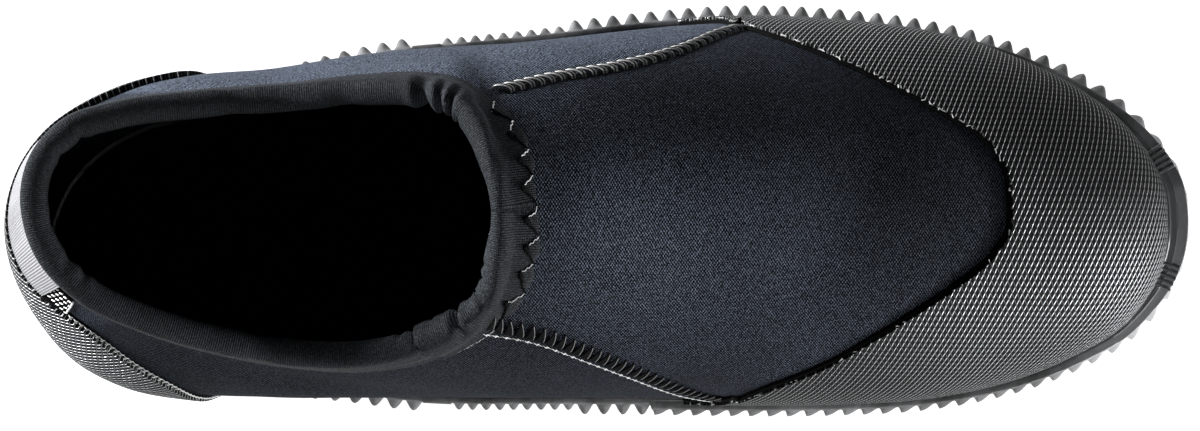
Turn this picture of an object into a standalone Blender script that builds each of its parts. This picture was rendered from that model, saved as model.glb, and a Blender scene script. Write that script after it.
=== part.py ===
"""Low-cut neoprene diving boot for the left foot, standing empty on its sole.

Sizes are in millimetres: x runs to the toe, y to the outer side of the foot
and z up from the floor. The meshes are made in metres.
"""

import math

import bmesh
import bpy
import numpy as np
from mathutils import Vector
from mathutils.bvhtree import BVHTree

MM = 0.001
BOOT = "diving_boot"

# Walls and clearances
NEOPRENE = 3.0
OVERLAY = 1.2
TAPE = 0.8
BINDING = 0.9
GAP = 0.7
BINDING_GAP = 1.1
BINDING_GAP_INSIDE = 1.0
SHELF_GAP = 0.3

# Mesh steps
FRONT_SECTIONS = 24
REAR_SECTIONS = 18
WALL_ROWS = 14
SHOULDER_CROWDING = 0.25
CAP_ROWS = 7
COUNTER_ROWS = 6
TAPE_ROWS = 3
EDGE_SAMPLES = 2400
CREASE_ANGLE = 40.0
MERGE = 0.001


def table(names, *rows):
    """A small table: one array for each named column, one entry for each row."""
    return dict(zip(names.split(), np.array(rows, dtype=float).T))


# Sole outline through the tips of the side teeth, heel to toe
HEEL_TIP = (-139.8, -5.0)
TOE_TIP = (142.0, -0.3)
SOLE_OUTLINE = table(
    "x lateral medial",
    (-135.5, 9.0, -22.0),
    (-127.0, 19.5, -33.6),
    (-115.0, 27.0, -40.2),
    (-100.0, 31.4, -43.0),
    (-80.0, 35.6, -44.0),
    (-62.0, 40.4, -45.6),
    (-48.0, 43.2, -47.4),
    (-35.0, 44.4, -48.2),
    (-12.0, 46.8, -48.3),
    (8.0, 49.3, -48.5),
    (32.0, 51.2, -48.9),
    (56.0, 50.5, -48.8),
    (80.0, 47.6, -47.4),
    (92.3, 44.8, -45.4),
    (104.5, 40.6, -42.2),
    (116.5, 34.8, -37.3),
    (128.5, 26.2, -30.2),
    (136.2, 17.0, -21.4),
    (140.6, 8.6, -11.8),
)

# Sole seen from the side: lowest face of the tread and top of the rim
SOLE_SIDE = table(
    "x floor rim",
    (-141.0, 3.0, 13.0),
    (-127.0, 0.0, 12.0),
    (-60.0, 0.0, 11.6),
    (-38.0, 2.2, 12.2),
    (-12.0, 3.4, 12.2),
    (20.0, 0.0, 10.2),
    (74.0, 0.0, 10.4),
    (100.0, 2.6, 12.8),
    (125.0, 7.6, 17.8),
    (144.0, 13.0, 23.4),
)
TREAD_DEPTH = 3.0

# Teeth of the sole's side: each zone ends at a place on one side of the foot.
# The first zone starts on the inner side and runs round the toe.
TOOTH_DEPTH = 2.6
FOREFOOT_START = ("medial", 0.0)
TOOTH_ZONES = (
    # end side, end x, pitch, depth
    ("lateral", -8.5, 4.65, 2.6),
    ("lateral", -39.0, 3.4, 1.6),
    ("lateral", -46.0, 3.5, 0.0),
    ("medial", -43.0, 4.85, 2.4),
    ("medial", -36.0, 3.5, 0.0),
    ("medial", 0.0, 3.4, 1.6),
)
TOOTH_SHAPE = ((0.05, 0.0), (0.4, 1.0), (0.62, 1.0))
PLAIN_INSET = 1.2
TOOTH_FOOT = 1.0
TOOTH_DROP = 1.8
RIM_STEP = 0.4
UNDERCUT = 1.4
SHELF_UNDERLAP = 1.0
RING_POINTS = 120

# Shelf between the root of the teeth and the upper, from toe (0) to heel (1)
SHELF = table(
    "along width",
    (0.0, 5.2),
    (0.12, 3.6),
    (0.3, 2.3),
    (0.7, 2.2),
    (0.9, 1.6),
    (1.0, 1.4),
)

# Tread bars, two to a row with a groove between them
LUG_ROWS = 15
LUG_START = -121.0
LUG_END = 121.0
LUG_LENGTH = 10.0
LUG_CHAMFER = 2.0
LUG_MARGIN = 6.0
LUG_GROOVE = 4.0
LUG_LEAST_WIDTH = 8.0

# Ridge of the vamp from the throat to the top of the toes
RIDGE = table(
    "x y z",
    (-22.5, 1.5, 92.2),
    (0.0, 1.5, 84.6),
    (20.0, 1.2, 77.0),
    (40.0, 0.8, 69.4),
    (60.0, 0.4, 62.2),
    (88.0, 0.0, 53.4),
)
RIDGE_CROWDING = 1.5
THROAT_ALONG = 0.565

# Shape of the front sections, from the throat (0) to the toe (1), in the same
# terms as the collar's columns below
FRONT = table(
    "place rise reach bulge",
    (0.0, 0.40, 0.34, 2.6),
    (0.5, 0.37, 0.38, 2.2),
    (0.8, 0.36, 0.42, 2.2),
    (1.0, 0.36, 0.46, 2.6),
)

# Collar edge and the sections below it, from the throat to the heel. Column
# along is the section's place on the sole edge from toe (0) to heel (1), dip the
# fall of the wall at the collar in degrees, rise and reach the pull of its lower
# and upper part as shares of its span, and bulge its swell over the sole.
COLLAR = {
    "lateral": table(
        "along x y z dip rise reach bulge",
        (0.565, -22.5, 1.5, 92.2, 1.0, 0.400, 0.340, 2.6),
        (0.580, -24.4, 11.4, 90.3, 19.0, 0.378, 0.295, 2.3),
        (0.597, -26.8, 19.4, 87.3, 36.0, 0.362, 0.285, 2.0),
        (0.618, -31.6, 25.7, 83.8, 50.0, 0.352, 0.290, 2.0),
        (0.648, -40.0, 28.8, 79.8, 63.0, 0.362, 0.315, 2.6),
        (0.692, -53.0, 29.8, 75.0, 74.0, 0.390, 0.355, 5.0),
        (0.755, -72.0, 28.4, 71.0, 81.0, 0.420, 0.400, 8.8),
        (0.825, -92.0, 26.9, 73.0, 83.0, 0.420, 0.400, 12.2),
        (0.895, -111.0, 24.2, 77.2, 84.0, 0.420, 0.400, 11.6),
        (0.940, -121.0, 20.8, 79.8, 84.0, 0.420, 0.400, 10.6),
        (0.972, -127.8, 13.4, 81.4, 84.0, 0.420, 0.400, 10.0),
        (1.000, -130.0, 4.0, 82.0, 84.0, 0.420, 0.400, 9.8),
    ),
    "medial": table(
        "along x y z dip rise reach bulge",
        (0.565, -22.5, 1.5, 92.2, 1.0, 0.400, 0.340, 2.6),
        (0.580, -22.9, -9.0, 90.5, 19.0, 0.378, 0.295, 2.3),
        (0.597, -24.6, -18.2, 87.0, 36.0, 0.362, 0.285, 2.0),
        (0.618, -31.2, -24.6, 83.2, 50.0, 0.352, 0.290, 2.0),
        (0.648, -40.6, -29.8, 78.8, 63.0, 0.362, 0.315, 2.8),
        (0.692, -53.4, -33.0, 74.2, 74.0, 0.390, 0.355, 6.6),
        (0.755, -70.0, -33.0, 70.8, 81.0, 0.420, 0.400, 10.6),
        (0.825, -88.0, -29.8, 72.2, 83.0, 0.420, 0.400, 11.4),
        (0.895, -105.0, -24.6, 76.0, 84.0, 0.420, 0.400, 10.6),
        (0.940, -117.6, -18.4, 79.2, 84.0, 0.420, 0.400, 9.8),
        (0.972, -126.8, -8.6, 81.2, 84.0, 0.420, 0.400, 9.8),
        (1.000, -130.0, 4.0, 82.0, 84.0, 0.420, 0.400, 9.8),
    ),
}

# Binding over the collar edge: how far down it reaches, the rows of its two
# skirts as shares of that, and half widths of its crown and of the bed below it
BINDING_DEPTH = 10.0
BINDING_ROWS = (1.0, 0.66, 0.33, 0.02)
BINDING_CROWN = 1.6
BINDING_BED = 2.0

# Rear edge of the toe cap seen from above, and its least height on the wings
CAP_EDGE = table(
    "y x",
    (-44.4, 31.9),
    (-42.6, 35.0),
    (-35.1, 52.2),
    (-24.5, 70.6),
    (-16.4, 83.4),
    (-9.4, 92.0),
    (-1.0, 96.2),
    (7.0, 95.8),
    (15.9, 91.9),
    (25.4, 77.9),
    (35.3, 58.1),
    (41.9, 42.1),
    (44.8, 33.7),
)
CAP_WING_END = 18.7
CAP_HEIGHT = table(
    "x height",
    (18.0, 1.6),
    (30.0, 3.0),
    (36.0, 10.0),
    (48.0, 30.0),
    (64.0, 60.0),
)

# Top edge of the heel counter above the rim, by place on the sole edge
COUNTER_END = -88.0
COUNTER_HEIGHT = table(
    "x height",
    (-136.0, 34.0),
    (-129.5, 40.0),
    (-118.0, 34.0),
    (-108.0, 28.0),
    (-98.0, 18.0),
    (-92.0, 8.0),
    (-88.0, 1.6),
)
TAPE_END = -132.0
TAPE_MARGIN = 0.8
FOOT_MARGIN = 0.9

# Raised seams from the collar to the cap; z only picks the place on the wall
SEAM_WIDTH = 3.0
SEAM_HEIGHT = 1.1
SEAM_SHOULDER = 0.72
SEAM_SHOULDER_HEIGHT = 0.75
SEAM_BED_LIFT = 1.2
SEAM_POINTS = 17
SEAMS = {
    "seam_lateral": table(
        "x y z",
        (-23.5, 27.8, 85.0),
        (-13.2, 28.5, 77.0),
        (-2.1, 31.8, 66.0),
        (11.4, 36.6, 52.0),
        (23.6, 40.8, 38.0),
        (32.4, 44.6, 24.0),
    ),
    "seam_medial": table(
        "x y z",
        (-27.1, -25.1, 84.0),
        (-14.8, -27.6, 76.0),
        (-1.6, -32.7, 65.0),
        (8.6, -37.3, 53.0),
        (20.6, -42.4, 36.0),
        (31.0, -44.6, 22.0),
    ),
}

INSOLE = 3.0
INSOLE_CLEARANCE = 0.7
RUNGS = 36

# Colours from the photograph: base colour, roughness
COLOURS = {
    "outsole": ((0.030, 0.031, 0.033), 0.62),
    "upper": ((0.012, 0.014, 0.020), 0.92),
    "insole": ((0.010, 0.010, 0.012), 0.95),
    "toe_cap": ((0.060, 0.062, 0.066), 0.48),
    "heel_counter": ((0.060, 0.062, 0.066), 0.48),
    "heel_tape": ((0.050, 0.052, 0.056), 0.80),
    "collar_binding": ((0.022, 0.025, 0.032), 0.90),
    "seam_lateral": ((0.008, 0.008, 0.009), 0.45),
    "seam_medial": ((0.008, 0.008, 0.009), 0.45),
}


# Curves through the tables

def hermite(start, end, start_slope, end_slope, t):
    """Cubic from start to end with the given slopes, t from 0 to 1."""
    return (
        start * (1 + 2 * t) * (1 - t) ** 2
        + start_slope * t * (1 - t) ** 2
        + end * t * t * (3 - 2 * t)
        - end_slope * t * t * (1 - t)
    )


def ease(keys, values, at):
    """Smooth curve through the rows of a table that never overshoots them."""
    step = np.diff(keys)
    slope = np.diff(values) / step
    product = slope[:-1] * slope[1:]
    total = np.where(product > 0, slope[:-1] + slope[1:], 1.0)
    inner = np.where(product > 0, 2 * product / total, 0.0)
    tangent = np.concatenate((slope[:1], inner, slope[-1:]))
    at = np.clip(at, keys[0], keys[-1])
    row = np.clip(np.searchsorted(keys, at) - 1, 0, len(step) - 1)
    t = (at - keys[row]) / step[row]
    return hermite(values[row], values[row + 1], tangent[row] * step[row], tangent[row + 1] * step[row], t)


def flow(keys, values, at, level_end=False):
    """Smooth curve through the rows of a table with rounded turns; it may run out level."""
    tangent = np.gradient(values, keys)
    if level_end:
        tangent[-1] = 0.0
    at = np.clip(at, keys[0], keys[-1])
    row = np.clip(np.searchsorted(keys, at) - 1, 0, len(keys) - 2)
    step = np.diff(keys)[row]
    t = (at - keys[row]) / step
    return hermite(values[row], values[row + 1], tangent[row] * step, tangent[row + 1] * step, t)


def unit(vectors):
    """Vectors of length one."""
    return vectors / np.linalg.norm(vectors, axis=-1, keepdims=True)


class SoleEdge:
    """The closed outline of the sole, walked from the toe along the outer side."""

    def __init__(self):
        lateral = np.column_stack((SOLE_OUTLINE["x"], SOLE_OUTLINE["lateral"]))[::-1]
        medial = np.column_stack((SOLE_OUTLINE["x"], SOLE_OUTLINE["medial"]))
        points = np.vstack((TOE_TIP, lateral, HEEL_TIP, medial, TOE_TIP))
        lead = np.vstack((points[-3:-1], points, points[1:3]))
        keys = np.concatenate(([0.0], np.cumsum(np.linalg.norm(np.diff(lead, axis=0), axis=1))))
        at = np.linspace(keys[2], keys[-3], EDGE_SAMPLES + 1)
        curve = np.column_stack([flow(keys, lead[:, axis], at) for axis in (0, 1)])
        steps = np.linalg.norm(np.diff(curve, axis=0), axis=1)
        self.arc = np.concatenate(([0.0], np.cumsum(steps)))
        self.length = self.arc[-1]
        self.curve = curve
        tangent = unit(np.roll(curve[:-1], -1, axis=0) - np.roll(curve[:-1], 1, axis=0))
        self.outward = np.column_stack((tangent[:, 1], -tangent[:, 0]))
        self.outward = np.vstack((self.outward, self.outward[:1]))
        self.heel_arc = self.arc[np.argmin(curve[:, 0])]

    def pick(self, values, arc):
        """Values along the outline at the given arc lengths."""
        arc = np.mod(arc, self.length)
        return np.column_stack([np.interp(arc, self.arc, values[:, axis]) for axis in (0, 1)])

    def points(self, arc, inset):
        """Places set in from the outline by the given amount."""
        return self.pick(self.curve, arc) - unit(self.pick(self.outward, arc)) * np.reshape(inset, (-1, 1))

    def normals(self, arc):
        """Level outward directions."""
        return unit(self.pick(self.outward, arc))

    def side_arc(self, side, along):
        """Arc length at a share of one side, toe 0 to heel 1."""
        if side == "lateral":
            return np.asarray(along) * self.heel_arc
        return self.length - np.asarray(along) * (self.length - self.heel_arc)

    def arc_at(self, side, x):
        """Arc length where one side of the outline passes x."""
        along = np.linspace(0.02, 0.98, EDGE_SAMPLES)
        reach = self.pick(self.curve, self.side_arc(side, along))[:, 0]
        return float(self.side_arc(side, np.interp(-x, -reach, along)))

    def along(self, arc):
        """Share of the way from toe to heel on either side."""
        arc = np.mod(arc, self.length)
        back = (self.length - arc) / (self.length - self.heel_arc)
        return np.where(arc <= self.heel_arc, arc / self.heel_arc, back)


EDGE = SoleEdge()


def floor_height(x):
    """Lowest face of the tread."""
    return ease(SOLE_SIDE["x"], SOLE_SIDE["floor"], x)


def rim_height(x):
    """Top of the sole's rim."""
    return ease(SOLE_SIDE["x"], SOLE_SIDE["rim"], x)


def feather_inset(arc):
    """How far the upper's lower edge lies inside the tips of the teeth."""
    return TOOTH_DEPTH + ease(SHELF["along"], SHELF["width"], EDGE.along(arc))


# The upper's surface: sections from the sole edge to the ridge or the collar

class Section:
    """One curve of the wall, from its foot on the sole to its top."""

    def __init__(self, side, along, top, dip, rise, reach, bulge, to_ridge, crowding):
        self.crowding = crowding
        arc = EDGE.side_arc(side, along)
        level = EDGE.points(arc, feather_inset(arc))[0]
        outward = np.append(EDGE.normals(arc)[0], 0.0)
        self.foot = np.append(level, rim_height(level[0]) + SHELF_GAP)
        self.top = np.array(top)
        span = np.linalg.norm(self.top - self.foot)
        slope = 0.0
        spread = outward
        if to_ridge:
            spread = unit((self.foot - self.top) * (1, 1, 0))
            slope = ridge_slope(self.top[0])
        lean = math.radians(dip)
        fall = (0, 0, slope * spread[0] * math.cos(lean) - math.sin(lean))
        lower = self.foot + outward * bulge + np.array((0, 0, rise * span))
        upper = self.top + reach * span * (spread * math.cos(lean) + fall)
        self.controls = np.array((self.foot, lower, upper, self.top))

    def at(self, share):
        """Points at shares of the curve, foot 0 to top 1, closer together at its shoulder."""
        share = np.reshape(share, (-1, 1))
        t = share + self.crowding * np.sin(2 * math.pi * share) / (2 * math.pi)
        weights = np.hstack(((1 - t) ** 3, 3 * t * (1 - t) ** 2, 3 * t * t * (1 - t), t ** 3))
        return weights @ self.controls


def ridge_point(x):
    """Place on the ridge of the vamp."""
    return np.array((x, ease(RIDGE["x"], RIDGE["y"], x), ease(RIDGE["x"], RIDGE["z"], x)))


def ridge_slope(x):
    """Fall of the ridge towards the toe."""
    return float(np.interp(x, RIDGE["x"], np.gradient(RIDGE["z"], RIDGE["x"])))


def front_section(side, place):
    """Section of the vamp, from the throat 0 to the toe 1."""
    run = RIDGE["x"][-1] - RIDGE["x"][0]
    top = ridge_point(RIDGE["x"][0] + run * (1 - (1 - place) ** RIDGE_CROWDING))
    shape = [float(ease(FRONT["place"], FRONT[name], place)) for name in ("rise", "reach", "bulge")]
    crowding = SHOULDER_CROWDING * (1 - place)
    return Section(side, THROAT_ALONG * (1 - place), top, 0.0, *shape, True, crowding)


def rear_section(side, place):
    """Section below the collar, from the throat 0 to the heel 1."""
    rows = COLLAR[side]
    chords = np.linalg.norm(np.diff([rows["x"], rows["y"], rows["along"] * 100], axis=1), axis=0)
    keys = np.concatenate(([0.0], np.cumsum(chords)))
    at = place * keys[-1]
    top = [float(flow(keys, rows[name], at, name in "xz")) for name in "xyz"]
    shape = [float(ease(keys, rows[name], at)) for name in ("dip", "rise", "reach", "bulge")]
    return Section(side, float(ease(keys, rows["along"], at)), top, *shape, False, SHOULDER_CROWDING)


def all_sections():
    """Sections in order round the foot: toe, outer side, heel, inner side."""
    front = np.linspace(0, 1, FRONT_SECTIONS + 1)
    rear = np.linspace(0, 1, REAR_SECTIONS + 1)
    outer = [front_section("lateral", place) for place in front[::-1]]
    outer += [rear_section("lateral", place) for place in rear[1:]]
    inner = [rear_section("medial", place) for place in rear[-2:0:-1]]
    inner += [front_section("medial", place) for place in front[:-1]]
    return outer + inner


SECTIONS = all_sections()
COLLAR_FIRST = FRONT_SECTIONS
COLLAR_LAST = FRONT_SECTIONS + 2 * REAR_SECTIONS


def grid_normals(points):
    """Outward directions of a grid of points on the wall."""
    round_foot = np.gradient(points, axis=0)
    up_wall = np.gradient(points, axis=1)
    return unit(np.cross(round_foot, up_wall))


def share_at_height(section, height):
    """Share of a section where it is this far above its foot."""
    shares = np.linspace(0, 1, 201)
    return float(np.interp(height, section.at(shares)[:, 2] - section.foot[2], shares))


# Meshes

def new_object(name, mesh):
    """Link a finished mesh to the boot's collection with its own material."""
    colour, roughness = COLOURS[name]
    material = bpy.data.materials.new(name)
    material.use_nodes = True
    shader = material.node_tree.nodes["Principled BSDF"]
    shader.inputs["Base Color"].default_value = (*colour, 1.0)
    shader.inputs["Roughness"].default_value = roughness
    mesh.materials.append(material)
    mesh.shade_smooth()
    mesh.set_sharp_from_angle(angle=math.radians(CREASE_ANGLE))
    piece = bpy.data.objects.new(name, mesh)
    bpy.data.collections[BOOT].objects.link(piece)
    return piece


def geometry(vertices, faces):
    """Working geometry from points in millimetres."""
    work = bmesh.new()
    made = [work.verts.new(Vector(point) * MM) for point in vertices]
    for face in faces:
        work.faces.new([made[index] for index in face])
    return work


def finish(name, work):
    """Turn working geometry into an object."""
    mesh = bpy.data.meshes.new(name)
    work.to_mesh(mesh)
    work.free()
    return new_object(name, mesh)


def solid(name, work):
    """Turn closed working geometry into an object with its faces out."""
    bmesh.ops.recalc_face_normals(work, faces=work.faces)
    return finish(name, work)


def grid_faces(count, rows, closed):
    """Quads of a grid of points, running round and up the wall."""
    faces = []
    for i in range(count if closed else count - 1):
        after = (i + 1) % count
        for j in range(rows - 1):
            faces.append((i * rows + j, after * rows + j, after * rows + j + 1, i * rows + j + 1))
    return faces


def shell(name, points, thickness, closed=False):
    """An open surface facing out, thickened inwards."""
    count, rows = points.shape[:2]
    work = geometry(points.reshape(-1, 3), grid_faces(count, rows, closed))
    bmesh.ops.remove_doubles(work, verts=work.verts, dist=MERGE * MM)
    piece = finish(name, work)
    wall = piece.modifiers.new("wall", "SOLIDIFY")
    wall.thickness = thickness * MM
    wall.offset = -1.0
    wall.use_even_offset = True
    wall.use_quality_normals = True


def tube(name, rings, closed=False):
    """A solid through rings of points, with flat ends unless it closes on itself."""
    count, rows = rings.shape[:2]
    faces = []
    for i in range(count if closed else count - 1):
        after = (i + 1) % count
        for j in range(rows):
            beside = (j + 1) % rows
            faces.append((i * rows + j, after * rows + j, after * rows + beside, i * rows + beside))
    if not closed:
        faces.append(tuple(range(rows)))
        faces.append(tuple((count - 1) * rows + j for j in reversed(range(rows))))
    solid(name, geometry(rings.reshape(-1, 3), faces))


# Upper and the pieces that lie on it

def wall_points():
    """Grid of the upper's outer face, sections by rows."""
    shares = np.linspace(0, 1, WALL_ROWS + 1)
    return np.array([section.at(shares) for section in SECTIONS])


WALL = wall_points()


def wall_tree():
    """Search tree over the facets of the upper's outer face."""
    count, rows = WALL.shape[:2]
    vertices = [Vector(point) for point in WALL.reshape(-1, 3)]
    return BVHTree.FromPolygons(vertices, grid_faces(count, rows, True))


WALL_TREE = wall_tree()
NORMAL_REACH = 7.0


def on_wall(point):
    """Nearest place on the upper's outer face, with a smoothed outward direction."""
    place = WALL_TREE.find_nearest(Vector(point))[0]
    blend = Vector((0, 0, 0))
    for _, normal, _, distance in WALL_TREE.find_nearest_range(place, NORMAL_REACH):
        blend += normal * (NORMAL_REACH - distance)
    return np.array(place), np.array(blend.normalized())


def make_upper():
    """The neoprene foot: one hollow wall, open at the collar and underneath."""
    shell("upper", WALL, NEOPRENE, closed=True)


def overlay(name, sections, starts, ends, rows, thickness):
    """A skin over part of the wall, between two shares of each section."""
    steps = np.linspace(0, 1, rows + 1)
    points = np.array([
        section.at(start + (end - start) * steps)
        for section, start, end in zip(sections, starts, ends)
    ])
    shell(name, points + grid_normals(points) * (GAP + thickness), thickness)


def cap_top(section):
    """Share of a section where the toe cap ends."""
    shares = np.linspace(0, 1, 401)
    points = section.at(shares)
    behind = points[:, 0] < ease(CAP_EDGE["y"], CAP_EDGE["x"], points[:, 1])
    wing = share_at_height(section, FOOT_MARGIN + ease(CAP_HEIGHT["x"], CAP_HEIGHT["height"], section.foot[0]))
    if behind[0]:
        return wing
    return min(wing, shares[np.argmax(behind)])


def make_toe_cap():
    """The grained rubber cap over the toes."""
    order = SECTIONS[-FRONT_SECTIONS:] + SECTIONS[:FRONT_SECTIONS]
    sections = [section for section in order if section.foot[0] > CAP_WING_END]
    starts = [share_at_height(section, FOOT_MARGIN) for section in sections]
    ends = [cap_top(section) for section in sections]
    overlay("toe_cap", sections, starts, ends, CAP_ROWS, OVERLAY)


def counter_height(section):
    """Height of the heel counter's top edge above the foot of a section."""
    return FOOT_MARGIN + float(ease(COUNTER_HEIGHT["x"], COUNTER_HEIGHT["height"], section.foot[0]))


def heel_sections(limit):
    """Sections whose foot lies behind the limit."""
    rear = SECTIONS[COLLAR_FIRST:COLLAR_LAST + 1]
    return [section for section in rear if section.foot[0] < limit]


def make_heel_counter():
    """The grained rubber counter round the heel."""
    sections = heel_sections(COUNTER_END)
    starts = [share_at_height(section, FOOT_MARGIN) for section in sections]
    ends = [share_at_height(section, counter_height(section)) for section in sections]
    overlay("heel_counter", sections, starts, ends, COUNTER_ROWS, OVERLAY)


def make_heel_tape():
    """The ribbed tape over the back of the heel, from the counter to the binding."""
    sections = heel_sections(TAPE_END)
    starts = []
    ends = []
    for section in sections:
        shares = np.linspace(0, 1, 401)
        points = section.at(shares)
        below_top = np.linalg.norm(points - section.top, axis=1)
        starts.append(share_at_height(section, counter_height(section) + TAPE_MARGIN))
        ends.append(float(np.interp(-(BINDING_DEPTH + TAPE_MARGIN), -below_top, shares)))
    overlay("heel_tape", sections, starts, ends, TAPE_ROWS, TAPE)


def make_collar_binding():
    """The binding folded over the collar edge, as a channel round the opening."""
    edge = WALL[COLLAR_FIRST:COLLAR_LAST, -1]
    tangents = unit(np.roll(edge, -1, axis=0) - np.roll(edge, 1, axis=0))
    depths = np.array(BINDING_ROWS) * BINDING_DEPTH
    near, far = BINDING_GAP, BINDING_GAP + BINDING
    rings = []
    for place, tangent in zip(edge, tangents):
        _, normal = on_wall(place)
        down = unit(np.cross(tangent, normal))
        seats = [on_wall(place + down * depth) for depth in depths]
        outer = [seat + lift * far for seat, lift in seats]
        inner = [seat - lift * (NEOPRENE + BINDING_GAP_INSIDE + BINDING) for seat, lift in seats]
        lining_out = [seat + lift * near for seat, lift in seats]
        lining_in = [seat - lift * (NEOPRENE + BINDING_GAP_INSIDE) for seat, lift in seats]
        middle = place - normal * NEOPRENE / 2
        crown = [middle + normal * side * BINDING_CROWN - down * far for side in (1, -1)]
        bed = [middle + normal * side * BINDING_BED - down * near for side in (-1, 1)]
        rings.append(outer + crown + inner[::-1] + lining_in + bed + lining_out[::-1])
    tube("collar_binding", np.array(rings), closed=True)


def make_seam(name):
    """A raised cover seam that follows the wall."""
    rows = SEAMS[name]
    guide = np.column_stack((rows["x"], rows["y"], rows["z"]))
    keys = np.concatenate(([0.0], np.cumsum(np.linalg.norm(np.diff(guide, axis=0), axis=1))))
    at = np.linspace(0, keys[-1], SEAM_POINTS * 3)
    line = np.column_stack([flow(keys, guide[:, axis], at) for axis in range(3)])
    line = np.array([on_wall(point)[0] for point in line])
    collar = WALL[COLLAR_FIRST:COLLAR_LAST, -1]
    away = np.linalg.norm(line[:, None] - collar[None], axis=2).min(axis=1)
    behind_cap = ease(CAP_EDGE["y"], CAP_EDGE["x"], line[:, 1]) - line[:, 0]
    line = line[(away > BINDING_DEPTH + SEAM_WIDTH) & (behind_cap > SEAM_WIDTH)]
    line = line[np.linspace(0, len(line) - 1, SEAM_POINTS).astype(int)]
    tangents = unit(np.gradient(line, axis=0))
    half = SEAM_WIDTH / 2
    rings = []
    for place, tangent in zip(line, tangents):
        _, normal = on_wall(place)
        across = unit(np.cross(normal, tangent))
        left, left_lift = on_wall(place + across * half)
        right, right_lift = on_wall(place - across * half)
        ring = [left + left_lift * GAP, place + normal * GAP * SEAM_BED_LIFT, right + right_lift * GAP]
        for side, share in ((-1, SEAM_SHOULDER_HEIGHT), (0, 1.0), (1, SEAM_SHOULDER_HEIGHT)):
            lift = normal * (GAP + SEAM_HEIGHT * share)
            ring.append(place + lift + across * half * SEAM_SHOULDER * side)
        rings.append(ring)
    tube(name, np.array(rings))


# Sole and insole

def side_width(outline, side, x):
    """How far one side of an outline reaches at the given x."""
    tip = int(np.argmax(outline[:, 0]))
    walk = np.roll(outline, -tip, axis=0)
    heel = int(np.argmin(walk[:, 0]))
    half = walk[:heel + 1] if side == "lateral" else np.vstack((walk[:1], walk[:heel - 1:-1]))
    return np.interp(-x, -half[:, 0], half[:, 1])


def ladder(inset):
    """Rungs across the foot inside an inset outline, heel to toe."""
    arc = np.linspace(0, EDGE.length, EDGE_SAMPLES, endpoint=False)
    outline = EDGE.points(arc, inset(arc))
    heel = outline[np.argmin(outline[:, 0])]
    toe = outline[np.argmax(outline[:, 0])]
    turn = np.linspace(0, math.pi, RUNGS + 1)[1:-1]
    middle = (heel[0] + toe[0]) / 2
    x = middle - (toe[0] - heel[0]) / 2 * np.cos(turn)
    lateral = np.column_stack((x, side_width(outline, "lateral", x)))
    medial = np.column_stack((x, side_width(outline, "medial", x)))
    return heel, lateral, medial, toe


def ladder_loop(heel, lateral, medial, toe):
    """The ladder's outline in order: toe, outer side, heel, inner side."""
    return np.vstack((toe, lateral[::-1], heel, medial))


def ladder_faces(rungs, first):
    """Faces across a ladder whose loop starts at the given index."""
    size = 2 * rungs + 2
    faces = [(first, first + 1, first + size - 1)]
    for i in range(1, rungs):
        faces.append((first + i, first + i + 1, first + size - i - 1, first + size - i))
    faces.append((first + rungs, first + rungs + 1, first + rungs + 2))
    return faces


def make_insole():
    """The board inside the foot, resting on the sole."""
    parts = ladder(lambda arc: feather_inset(arc) + NEOPRENE + INSOLE_CLEARANCE)
    loop = ladder_loop(*parts)
    size = len(loop)
    low = rim_height(loop[:, 0]) + SHELF_GAP
    vertices = np.vstack((np.column_stack((loop, low)), np.column_stack((loop, low + INSOLE))))
    faces = [(i, (i + 1) % size, size + (i + 1) % size, size + i) for i in range(size)]
    faces += ladder_faces(len(parts[1]), 0)
    faces += ladder_faces(len(parts[1]), size)
    solid("insole", geometry(vertices, faces))


def toothed_side():
    """Arc places round the sole and how far each lies inside the tooth tips."""
    arcs = []
    insets = []
    start = EDGE.arc_at(*FOREFOOT_START) - EDGE.length
    for side, end_x, pitch, depth in TOOTH_ZONES:
        end = EDGE.arc_at(side, end_x)
        count = round((end - start) / pitch)
        step = (end - start) / count
        for tooth in range(count):
            for place, height in TOOTH_SHAPE:
                arcs.append(start + (tooth + place) * step)
                insets.append(TOOTH_DEPTH - depth * height if depth else PLAIN_INSET)
        start = end
    return np.array(arcs), np.array(insets)


def lug_outlines(plate):
    """Outlines of the tread bars, two to a row."""
    half = LUG_LENGTH / 2
    cut = LUG_CHAMFER
    lugs = []
    for x in np.linspace(LUG_START, LUG_END, LUG_ROWS):
        for side, sign in (("lateral", 1), ("medial", -1)):
            ends = np.array((x - half, x + half))
            middle = (side_width(plate, "lateral", x) + side_width(plate, "medial", x)) / 2
            back, front = side_width(plate, side, ends) - sign * LUG_MARGIN
            root = middle + sign * LUG_GROOVE / 2
            if min(sign * (back - root), sign * (front - root)) < LUG_LEAST_WIDTH:
                continue
            lugs.append(np.array((
                (x - half, root),
                (x + half, root),
                (x + half, front - sign * cut),
                (x + half - cut, front),
                (x - half + cut, back),
                (x - half, back - sign * cut),
            )))
    return lugs


def add_loop(work, points, heights):
    """Add a closed loop of edges, remembering each vertex's height."""
    layer = work.verts.layers.float["height"]
    verts = []
    for (x, y), height in zip(points, heights):
        vert = work.verts.new((x * MM, y * MM, 0))
        vert[layer] = height * MM
        verts.append(vert)
    edges = [work.edges.new((verts[i], verts[(i + 1) % len(verts)])) for i in range(len(verts))]
    return verts, edges


def join_loops(work, lower, upper):
    """Quads between two loops with the same number of points."""
    size = len(lower)
    for i in range(size):
        after = (i + 1) % size
        work.faces.new((lower[i], lower[after], upper[after], upper[i]))


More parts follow.
